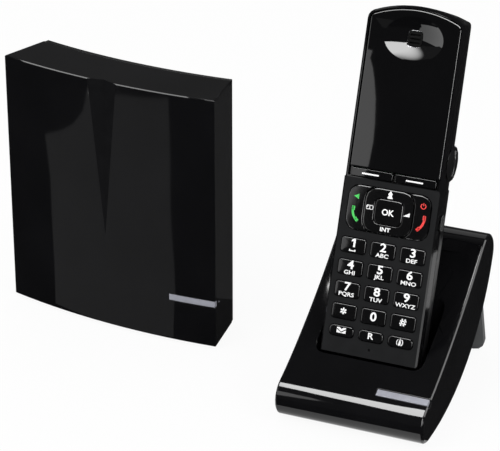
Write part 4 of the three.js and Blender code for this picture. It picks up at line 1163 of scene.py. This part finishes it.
    def screens(self) -> None:
        """The standing cards, for the streak in the window, the keys' left ends and the right edges."""
        near = [(-0.1640, -0.3600, 0.2889), (-0.1642, -0.3598, 0.2836), (-0.1614, -0.3624, 0.2774),
                (-0.1592, -0.3650, 0.2703), (-0.1565, -0.3691, 0.2587), (-0.1545, -0.3737, 0.2439),
                (-0.1536, -0.3773, 0.2319), (-0.1536, -0.3798, 0.2165), (-0.1600, -0.3850, 0.1900),
                (-0.1720, -0.3900, 0.1500), (-0.1850, -0.4000, 0.1100)]
        far = [(-0.26, -0.36, 0.11), (-0.26, -0.32, 0.2889)]
        self.card("left_screen", [*near, *far], 1.9)
        behind = upright((-0.270, -0.094), (-0.172, -0.345), 0.06, 0.289)
        self.card("left_screen_far", behind, 3.0, Fade((-1.0, 0.0, 0.0), 0.17, 0.27, 0.66))
        right = upright((0.33, -0.34), (0.44, -0.14), 0.02, 0.34, (-0.02, 0.02))
        self.card("right_screen", right, 18.0, Fade((0.0, 0.0, 1.0), 0.08, 0.16, 0.35))
        self.card("edge_screen", upright((0.36, -0.150), (0.40, -0.06), 0.0, 0.07), 2.0)
        self.card("far_right_screen", upright((0.47, 0.00), (0.40, 0.30), 0.12, 0.38, (-0.02, -0.02)), 4.0)
        self.card("back_wall", upright((-1.6, 1.4), (1.4, 1.4), 0.25, 2.2), 0.09)

    def ground(self) -> None:
        """The cards on the floor, for the broad stripe in the base station's front and the cradle's foot."""
        band = [(-0.3776, -0.2037), (-0.3575, -0.1699), (-0.3546, -0.1448), (-0.3589, -0.1264),
                (-0.3717, -0.1019), (-0.3421, -0.0824), (-0.3167, -0.0648), (-0.2712, -0.0289),
                (-0.2286, 0.0039), (-0.1912, 0.0333), (-0.1168, 0.0267), (-0.1216, 0.0163),
                (-0.1359, -0.0191), (-0.1510, -0.0509), (-0.1753, -0.0987), (-0.2005, -0.1508),
                (-0.2339, -0.2223), (-0.2531, -0.2624)]
        behind = [(-0.110, 0.085), (-0.060, 0.085), (-0.010, 0.370), (-0.110, 0.420)]
        front = level(0.0005, oblong(-0.07, 0.04, -0.034, -0.012))
        self.card("floor_band", level(0.001, band), 0.26)
        self.card("floor_behind", level(0.001, behind), 0.055)
        self.card("floor_front", front, 1.2, Fade((0.0, -1.0, 0.0), 0.02, 0.034, 0.75))

    def build(self) -> None:
        """Set up the whole studio; the cards stand where the photograph's reflections put them."""
        bpy.context.scene.view_settings.view_transform = "Standard"
        self.camera()
        self.surroundings()
        self.floor()
        self.roof()
        self.screens()
        self.ground()
        self.lamp("key_box", (-0.5, -0.9, 1.1), (0.7, 0.7), 7.0)
        self.lamp("side_box", (0.9, -0.3, 0.6), (0.5, 0.7), 3.0)


# Cradle


@dataclass
class Cradle:
    """The charging cradle and its inner pieces."""

    body: str = "cradle"
    smooth: float = 22.0
    roll: Roll = Roll(0.2)
    bar_roll: Roll = Roll(0.12, flat=0.3)
    kept: ClassVar[dict[Finishes, Sequence[str]]] = {
        Finishes.BOARD: ("cradle_board",),
        Finishes.GOLD: ("charge_pin_left", "charge_pin_right"),
        Finishes.RUBBER: ("front_foot", "rear_foot", "cradle_power_socket"),
        Finishes.STEEL: ("cradle_screw_left", "cradle_screw_right"),
    }

    def build(self) -> None:
        """Dress the cradle."""
        moulded("cradle_shell", Finishes.GLOSS_BLACK, self.body, self.smooth, self.roll)
        moulded("cradle_cover", Finishes.LEG_GREY, self.body, self.smooth, self.roll)
        moulded("cradle_light_bar", Finishes.LIGHT_BAR, self.body, self.smooth, self.bar_roll)
        dress(self.kept)


# Handset


@dataclass(frozen=True)
class KeyRows:
    """Where the handset's twelve digit keys and the three low keys under them lie."""

    column: float = 14.9
    row: float = 10.7
    middle_row: float = 41.6
    low_row: float = 10.7


@dataclass
class KeyCaps:
    """The pillow-topped keys and their prints.

    The side lists how far inwards a cap has come at each height, up to its brow. The dome lists the widths of
    the rings above the brow, as shares of the brow's.
    """

    places: KeyRows = KeyRows()
    width: float = 12.3
    height: float = 7.3
    low_height: float = 5.2
    corner: float = 1.2
    low_corner: float = 1.9
    top: float = 0.7
    pillow: float = 0.06
    root: float = -2.7
    side: tuple[Point, ...] = ((0.0, 0.28), (0.05, 0.45), (0.16, 0.6), (0.34, 0.69))
    brow: float = 0.6
    dome: tuple[float, ...] = (0.8, 0.55, 0.3, 0.08)
    digit: float = 4.1
    letter: float = 1.95
    digit_rise: float = 1.5
    letter_drop: float = 2.35
    ink: Print = Print(0.45, 0.86)
    letters: ClassVar[dict[str, str]] = {
        "2": "ABC", "3": "DEF", "4": "GHI", "5": "JKL", "6": "MNO", "7": "PQRS", "8": "TUV", "9": "WXYZ"}

    def layout(self) -> list[tuple[str, float, float, float, float]]:
        """The keys in order, row by row.

        Returns:
            Name, place, height and corner radius of each key.
        """
        keys = []
        rows = ("1 2 3", "4 5 6", "7 8 9", "star 0 hash", "message recall mute")
        for r, names in enumerate(rows):
            y, size = self.places.middle_row + (1 - r) * self.places.row, (self.height, self.corner)
            if r == len(rows) - 1:
                y, size = self.places.low_row, (self.low_height, self.low_corner)
            for c, name in enumerate(names.split()):
                keys.append((name, (c - 1) * self.places.column, y, *size))
        return keys

    def cap(self, name: str, x: float, y: float, height: float, corner: float) -> None:
        """One key cap with rolled edges and a slightly domed top.

        Args:
            name: The key's name.
            x: Middle across.
            y: Middle up.
            height: The key's height.
            corner: Its corner radius.
        """
        rings = []
        for inwards, n in ((0.0, self.root), *self.side, (self.brow, self.top)):
            outline = rounded_rectangle(self.width - 2 * inwards, height - 2 * inwards, corner - inwards / 2)
            rings.append([(x + px, y + py, n) for px, py in outline])
        for share in self.dome:
            lift = self.top + self.pillow * (1 - share**2)
            rings.append([(x + px * share, y + py * share, lift) for px, py in outline])
        lofted(name + "_cap", loft(rings, HANDSET_PLACE), 50.0, Finishes.KEY_BLACK, name, name)

    def drawn(self) -> dict[str, list[tuple[list[list[Point]], float, float]]]:
        """The drawn signs.

        Returns:
            For each key, groups of outlines with their shift from the key's middle.
        """
        one = [(-0.1, -2.0), (0.85, -2.0), (0.85, 2.05), (0.2, 2.05), (-1.1, 1.35), (-1.1, 0.5), (-0.1, 0.9)]
        tray = [(-1.6, 0.6), (-1.6, -0.3), (1.6, -0.3), (1.6, 0.6), (1.1, 0.6), (1.1, 0.15), (-1.1, 0.15),
                (-1.1, 0.6)]
        tips = [arc(0, 0, 1.55, turn, turn, 1)[0] for turn in range(30, 390, 60)]
        star = [stroke([(0, 0), tip], 0.75) for tip in tips]
        bars = [stroke([(-1.5, 0.62), (1.7, 0.62)], 0.6), stroke([(-1.7, -0.62), (1.5, -0.62)], 0.6),
                stroke([(-1.0, -1.7), (-0.45, 1.7)], 0.65), stroke([(0.45, -1.7), (1.0, 1.7)], 0.65)]
        flap = [(-2.3, 1.35), (-2.3, 0.9), (0, -0.6), (2.3, 0.9), (2.3, 1.35), (0.9, 1.35), (0, 0.6),
                (-0.9, 1.35)]
        pocket = [(-2.3, -1.35), (2.3, -1.35), (2.3, 0.35), (0, -1.15), (-2.3, 0.35)]
        flame = [(0.1, 1.95), (0.3, 0.7), (0.55, -0.2), (0.5, -1.1), (0.1, -1.7), (-0.75, -1.6), (-0.5, -0.4),
                 (-0.25, 0.7)]
        waves = [stroke(arc(0.35, -0.25, 1.85, 130, 220), 0.3), stroke(arc(-0.35, -0.1, 1.85, -55, 50), 0.42)]
        return {
            "1": [([one], 0.15, 1.3), ([tray], -0.1, -2.5)],
            "star": [(star, -0.2, 0.3)],
            "hash": [(bars, 0.1, 0.3)],
            "message": [([flap, pocket], 0.1, 0.4)],
            "mute": [([flame, *waves], -0.1, 0.25)],
        }

    def legend(self, name: str, x: float, y: float) -> list[Mesh]:
        """The digit and letters, or the word, that a key bears.

        Args:
            name: The key's name.
            x: Middle across.
            y: Middle up.

        Returns:
            Its words as meshes.
        """
        words = self.ink.words
        if name in self.letters:
            return [
                words(name, self.digit, x + 0.15, y + self.digit_rise, 0.03, 1.15),
                words(self.letters[name], self.letter, x, y - self.letter_drop, 0.02, 1.22),
            ]
        if name == "0":
            return [words("0", self.digit + 0.2, x + 0.1, y + 0.25, 0.03, 1.1)]
        return [words("R", 3.0, x + 0.15, y + 0.3, 0.025, 1.15)]

    def build(self) -> None:
        """Make all caps, and then all prints."""
        for name, x, y, height, corner in self.layout():
            self.cap("key_" + name, x, y, height, corner)
        drawn = self.drawn()
        for name, x, y, _, _ in self.layout():
            signs = [self.ink.signs(outlines, x + dx, y + dy) for outlines, dx, dy in drawn.get(name, ())]
            mesh = joined(signs or self.legend(name, x, y))
            piece(f"key_{name}_print", mesh, Finishes.WHITE_INK, "key_" + name)


@dataclass
class ControlCluster:
    """The rocker ring with its OK key, the call keys and the two soft keys."""

    smooth: float = 30.0
    rolls: ClassVar[dict[str, float]] = {"key_talk": 0.3, "key_end": 0.35, "nav_pad": 0.3, "key_ok": 0.2}
    soft_roll: Roll = Roll(0.25, flat=0.3)
    soft_bar: tuple[float, float, float, int] = (8.6, 0.7, 0.3, 3)
    soft_bars: ClassVar[dict[str, Point]] = {"softkey_left": (-11.65, 87.0), "softkey_right": (10.45, 87.0)}
    ink: Print = Print(0.35, 0.68)
    soft_ink: Print = Print(-0.6, -0.15)

    def ring_signs(self) -> Mesh:
        """The rocker ring's signs.

        Returns:
            A mesh with a bell above, a book and a wedge beside it, and a word below.
        """
        ink = self.ink
        left = [(0.0, 2.1), (-0.35, 1.5), (-1.0, 0.6), (-1.0, 0.2), (-0.75, 0.0), (-0.85, -0.7),
                (-1.25, -1.1), (-1.25, -1.7)]
        bell = [*left, *[(-x, y) for x, y in left[:0:-1]]]
        page = rounded([(-1.6, -1.0, 0.5), (-0.05, -0.75, 0.2), (-0.05, 0.95, 0.2), (-1.6, 1.0, 0.5)], 4)
        leaf = [*page, page[0], page[1]]
        book = [stroke(leaf, 0.3), stroke([(-x, y) for x, y in leaf], 0.3)]
        wedge = [(-1.6, -0.8), (1.6, -0.8), (1.6, 1.1)]
        signs = [ink.signs([bell], -0.1, 79.0), ink.signs(book, -9.4, 71.7), ink.signs([wedge], 9.1, 71.1)]
        return joined([*signs, ink.words("INT", 2.0, -0.3, 62.4, 0.03, 1.15)])

    def build(self) -> None:
        """Dress the control keys and print their signs."""
        ink = self.ink
        for node, width in self.rolls.items():
            moulded(node, Finishes.KEY_BLACK, node, self.smooth, Roll(width, flat=0.3))
        for node in self.soft_bars:
            moulded(node, Finishes.WINDOW_BLACK, node, self.smooth, self.soft_roll)
        piece("nav_pad_print", self.ring_signs(), Finishes.WHITE_INK, "nav_pad")
        piece("key_ok_print", ink.words("OK", 2.9, -0.1, 70.6, 0.03), Finishes.WHITE_INK, "key_ok")
        pointer = ink.signs([[(-1.3, -0.2), (1.2, 1.1), (1.2, -1.4)]], -16.6, 76.1)
        talk = joined([pointer, ink.signs(receiver((-17.5, 71.0), (-14.8, 64.2), -1.1))])
        piece("key_talk_print", talk, Finishes.GREEN_INK, "key_talk")
        power = [stroke(arc(0, 0, 1.2, 120, 420, 20), 0.42), stroke([(0, 0.35), (0, 1.6)], 0.42)]
        end = joined([ink.signs(power, 16.8, 76.5), ink.signs(receiver((18.2, 72.1), (15.1, 64.7), 1.0))])
        piece("key_end_print", end, Finishes.RED_INK, "key_end")
        for node, (x, y) in self.soft_bars.items():
            bar = self.soft_ink.signs([rounded_rectangle(*self.soft_bar)], x, y)
            piece(node + "_print", bar, Finishes.WHITE_INK, node)


@dataclass
class Window:
    """The dark window, with the earpiece dish sunk in it."""

    half: float = 22.55
    bottom: float = 89.5
    crown_radius: float = 52.94
    crown_centre: float = 114.16
    crown_steps: int = 40
    corner: float = 3.0
    foot_corner: float = 1.0
    corner_steps: int = 8
    top: float = -0.3
    thick: float = 1.3
    roll: float = 0.75
    roll_steps: int = 9
    ear_y: float = 153.2
    ear_half: Point = (14.6, 10.6)
    ear_depth: float = 2.4
    ear_radius: float = 7.68
    ear_steps: int = 14
    wall: float = 0.9
    hole: Point = (7.6, 8.2)
    squareness: float = 5.0
    pitch: float = 1.2
    crease: float = 13.0

    def outline(self) -> list[Point]:
        """The window's outline.

        Returns:
            Its points, anticlockwise.
        """
        reach = math.asin(self.half / self.crown_radius)
        rise = self.crown_centre + self.crown_radius * math.cos(reach)
        crown = [
            (self.crown_radius * math.sin(a), self.crown_centre + self.crown_radius * math.cos(a), 0.0)
            for a in (reach * (1 - 2 * k / self.crown_steps) for k in range(2, self.crown_steps - 1))
        ]
        corners = [
            (-self.half, self.bottom, self.foot_corner),
            (self.half, self.bottom, self.foot_corner),
            (self.half, rise, self.corner),
            *crown,
            (-self.half, rise, self.corner),
        ]
        return divided(rounded(corners, self.corner_steps), self.pitch)

    def bowl(self, x: float, y: float) -> float:
        """Height of the dish's surface against the window's top.

        Args:
            x: How far across from the dish's middle.
            y: How far up from it.

        Returns:
            The height, which isn't above zero.
        """
        rim = math.sqrt(self.ear_radius**2 - (self.ear_radius - self.ear_depth) ** 2) / self.ear_radius
        a, b = (half / rim for half in self.ear_half)
        surface = self.ear_radius * math.sqrt(max(0.0, 1 - (x / a) ** 2 - (y / b) ** 2))
        return min(0.0, self.ear_radius - self.ear_depth - surface)

    def rim(self, angle: float) -> Point:
        """The dish's rim in a direction.

        Args:
            angle: The direction from the dish's middle, in radians.

        Returns:
            The rim's point, from the dish's middle.
        """
        a, b = self.ear_half
        reach = 1 / math.hypot(math.cos(angle) / a, math.sin(angle) / b)
        return reach * math.cos(angle), reach * math.sin(angle)

    def mouth(self, angle: float) -> Point:
        """The edge of the opening for the sound in a direction.

        Args:
            angle: The direction from the dish's middle, in radians.

        Returns:
            The edge's point, from the dish's middle.
        """
        width, height = self.hole
        c, s = abs(math.cos(angle)) * 2 / width, abs(math.sin(angle)) * 2 / height
        reach = (c**self.squareness + s**self.squareness) ** (-1 / self.squareness)
        return reach * math.cos(angle), reach * math.sin(angle)

    def dish_ring(self, angles: Sequence[float], share: float, drop: float = 0.0) -> list[Triple]:
        """A ring around the dish.

        Args:
            angles: The directions of its points.
            share: How far out it lies, from 0 at the opening to 1 at the rim.
            drop: How far below the dish's surface.

        Returns:
            Its points, in local millimetres.
        """
        ring = []
        for angle in angles:
            (rx, ry), (mx, my) = self.rim(angle), self.mouth(angle)
            x, y = mx + (rx - mx) * share, my + (ry - my) * share
            ring.append((x, y + self.ear_y, self.top + self.bowl(x, y) - drop))
        return ring

    def build(self) -> None:
        """Make the window as one closed skin."""
        outline = self.outline()
        angles = [math.atan2(y - self.ear_y, x) for x, y in outline]
        low = self.top - self.thick
        rings = []
        for k in range(self.roll_steps + 1):
            turn = math.pi / 2 * k / self.roll_steps
            edge = inset(outline, self.roll * (1 - math.cos(turn)))
            rings.append([(x, y, self.top - self.roll * (1 - math.sin(turn))) for x, y in edge])
        rings.append([(x, y, self.top) for x, y in inset(outline, self.roll + 0.1)])
        rings += [self.dish_ring(angles, 1 - k / self.ear_steps) for k in range(self.ear_steps + 1)]
        rings += [self.dish_ring(angles, share, self.wall) for share in (0.0, 0.45, 0.8)]
        rings.append([(1.05 * x, 1.05 * y + self.ear_y, low) for x, y in map(self.rim, angles)])
        mesh = loft([*rings, [(x, y, low) for x, y in outline]], HANDSET_PLACE, looped=True)
        lofted("display_window_lens", mesh, self.crease, Finishes.WINDOW_BLACK, "handset", "display_window")


@dataclass
class Handset:
    """The handset's casing and what is in it."""

    places: KeyRows = KeyRows()
    body: str = "handset"
    smooth: float = 30.0
    ear_y: float = Window.ear_y
    cloth_level: float = -3.76
    cloth_thick: float = 0.12
    cloth_back: Triple = (6.2, 6.9, 1.5)
    knots: Grid = Grid(11, 12, (0.52, 0.54), (0.5, 0.52, 0.24))
    dome_level: float = -4.2
    dome_size: Triple = (6.0, 5.0, 1.3)
    low_dome_size: Triple = (5.0, 4.0, 1.1)
    kept: ClassVar[dict[Finishes, Sequence[str]]] = {
        Finishes.BOARD: ("main_board",),
        Finishes.GOLD: ("charge_contact_left", "charge_contact_right"),
        Finishes.RUBBER: ("key_mat",),
        Finishes.STEEL: ("earpiece_speaker", "microphone"),
        Finishes.BATTERY: ("battery_pack",),
        Finishes.PANEL: ("display_panel",),
        Finishes.GRILLE_BLACK: ("earpiece_grille",),
    }

    def build(self) -> None:
        """Dress the casing."""
        side, smooth = Finishes.SIDE_BLACK, self.smooth
        moulded("front_shell", Finishes.FACE_GREY, self.body, smooth)
        moulded("rear_shell", side, self.body, smooth)
        moulded("battery_door", side, "battery_door", smooth, Roll(0.15))
        Window().build()
        moulded("clip_strap", side, self.body, smooth, Roll(0.2))
        moulded("clip_tongue", side, "clip_tongue", 40.0, Roll(0.25, above=40.0, flat=0.3))
        moulded("jack_cover", Finishes.RUBBER, "jack_cover", smooth, Roll(0.12))
        self.cloth()
        self.domes()
        dress(self.kept)

    def cloth(self) -> None:
        """The woven cloth between the grille and the earpiece speaker."""
        finish = Finishes.GRILLE_BLACK
        knots = self.knots.mesh(finish, (0.0, self.ear_y, self.cloth_level), HANDSET_PLACE)
        outline = [(x, self.ear_y + y) for x, y in rounded_rectangle(*self.cloth_back)]
        back = plates([outline], self.cloth_level - self.cloth_thick, self.cloth_level, HANDSET_PLACE)
        piece("earpiece_cloth", joined([knots, back]), finish, self.body)

    def domes(self) -> None:
        """The rubber domes that the keys press on."""
        finish, places = Finishes.RUBBER, self.places
        digits = Grid(3, 4, (places.column, places.row), self.dome_size)
        low = Grid(3, 1, (places.column, 0.0), self.low_dome_size)
        rows = ((digits, places.middle_row - places.row / 2), (low, places.low_row))
        domes = [grid.mesh(finish, (0.0, y, self.dome_level), HANDSET_PLACE) for grid, y in rows]
        piece("key_domes", joined(domes), finish, self.body)


# Base station


@dataclass
class BaseStation:
    """The upright base station."""

    body: str = "base_station"
    smooth: float = 8.0
    groove_size: Triple = (8.2, 2.6, 84.0)
    groove_face: float = -5.4
    groove_top: float = 134.4
    groove_proud: float = 1.0
    # How far across the groove's walls the painted shade sheet reaches.
    shade_sheet_share: float = 0.92
    kept: ClassVar[dict[Finishes, Sequence[str]]] = {
        Finishes.BOARD: ("base_board",),
        Finishes.GOLD: ("base_antenna",),
        Finishes.RUBBER: ("base_foot_left", "base_foot_right", "base_power_socket", "line_socket"),
        Finishes.STEEL: ("base_screw",),
    }

    def build(self) -> None:
        """Dress the base station."""
        edge = Roll(0.1, above=50.0)
        moulded("base_front_shell", Finishes.GLOSS_BLACK, self.body, self.smooth, edge, self.groove())
        # A sheet of painted shade over the groove's walls, darker than the glossy front would mirror there.
        piece("groove_shade_sheet", self.shade_sheet(), Finishes.GROOVE_SHADE, self.body)
        moulded("base_rear_cover", Finishes.SIDE_BLACK, self.body, self.smooth, Roll(0.15))
        moulded("base_light_bar", Finishes.LIGHT_BAR, self.body, self.smooth, Roll(0.12, flat=0.3))
        moulded("page_button", Finishes.SIDE_BLACK, "page_button", 30.0, Roll(0.15))
        lying = Place(BASE_PLACE.origin, BASE_PLACE.out, BASE_PLACE.right, BASE_PLACE.up)
        contacts = Grid(6, 1, (1.02, 0.0), (0.42, 7.4, 0.42), True)
        slats = Grid(9, 1, (4.1, 0.0), (1.7, 31.0, 1.1), True)
        dot = Grid(1, 1, (0.0, 0.0), (0.4, 0.9, 0.9))
        for name, grid, finish, middle, place in (
            ("line_contacts", contacts, Finishes.GOLD, (-24.0, 20.9, 10.75), BASE_PLACE),
            ("vent_slats", slats, Finishes.SIDE_BLACK, (60.0, 0.0, 21.3), lying),
            ("side_dot", dot, Finishes.LIGHT_BAR, (59.95, 5.4, 23.2), BASE_PLACE),
        ):
            piece(name, grid.mesh(finish, middle, place), finish, self.body)
        dress(self.kept)

    def groove(self) -> Mesh:
        """The wedge that the front's tapering groove is cut with.

        Returns:
            The wedge, a little proud of the front and of the groove's top.
        """
        half, depth, length = self.groove_size
        face = self.groove_face
        rings = []
        for share in (0.004, 1.01):
            wide = half * share + half / depth * self.groove_proud
            z = self.groove_top + length * (share - 1)
            rings.append([(-wide, face - self.groove_proud, z), (wide, face - self.groove_proud, z),
                          (0.0, face + depth * share, z)])
        return loft(rings, BASE_PLACE)

    def shade_sheet(self) -> Mesh:
        """A dull sheet over the groove's walls, whose flat dark colour is painted shade for the groove.

        Returns:
            A bent skin that thins out with the groove.
        """
        half, depth, length = self.groove_size
        face, skin = self.groove_face, self.shade_sheet_share
        rings = []
        for share in (0.01, 1.0):
            wide, deep, z = half * share, depth * share, self.groove_top + length * (share - 1)
            rings.append([(-wide, face, z), (-wide * skin, face, z), (0.0, face + deep * skin, z),
                          (wide * skin, face, z), (wide, face, z), (0.0, face + deep, z)])
        return loft(rings, BASE_PLACE)


def main() -> None:
    """Build the studio and every sub-assembly."""
    logging.basicConfig(level=logging.INFO, format="%(name)s: %(message)s")
    Studio().build()
    for part in (Cradle(), Handset(), KeyCaps(), ControlCluster(), BaseStation()):
        part.build()
        log.info("built %s", type(part).__name__)


if __name__ == "__main__":
    main()
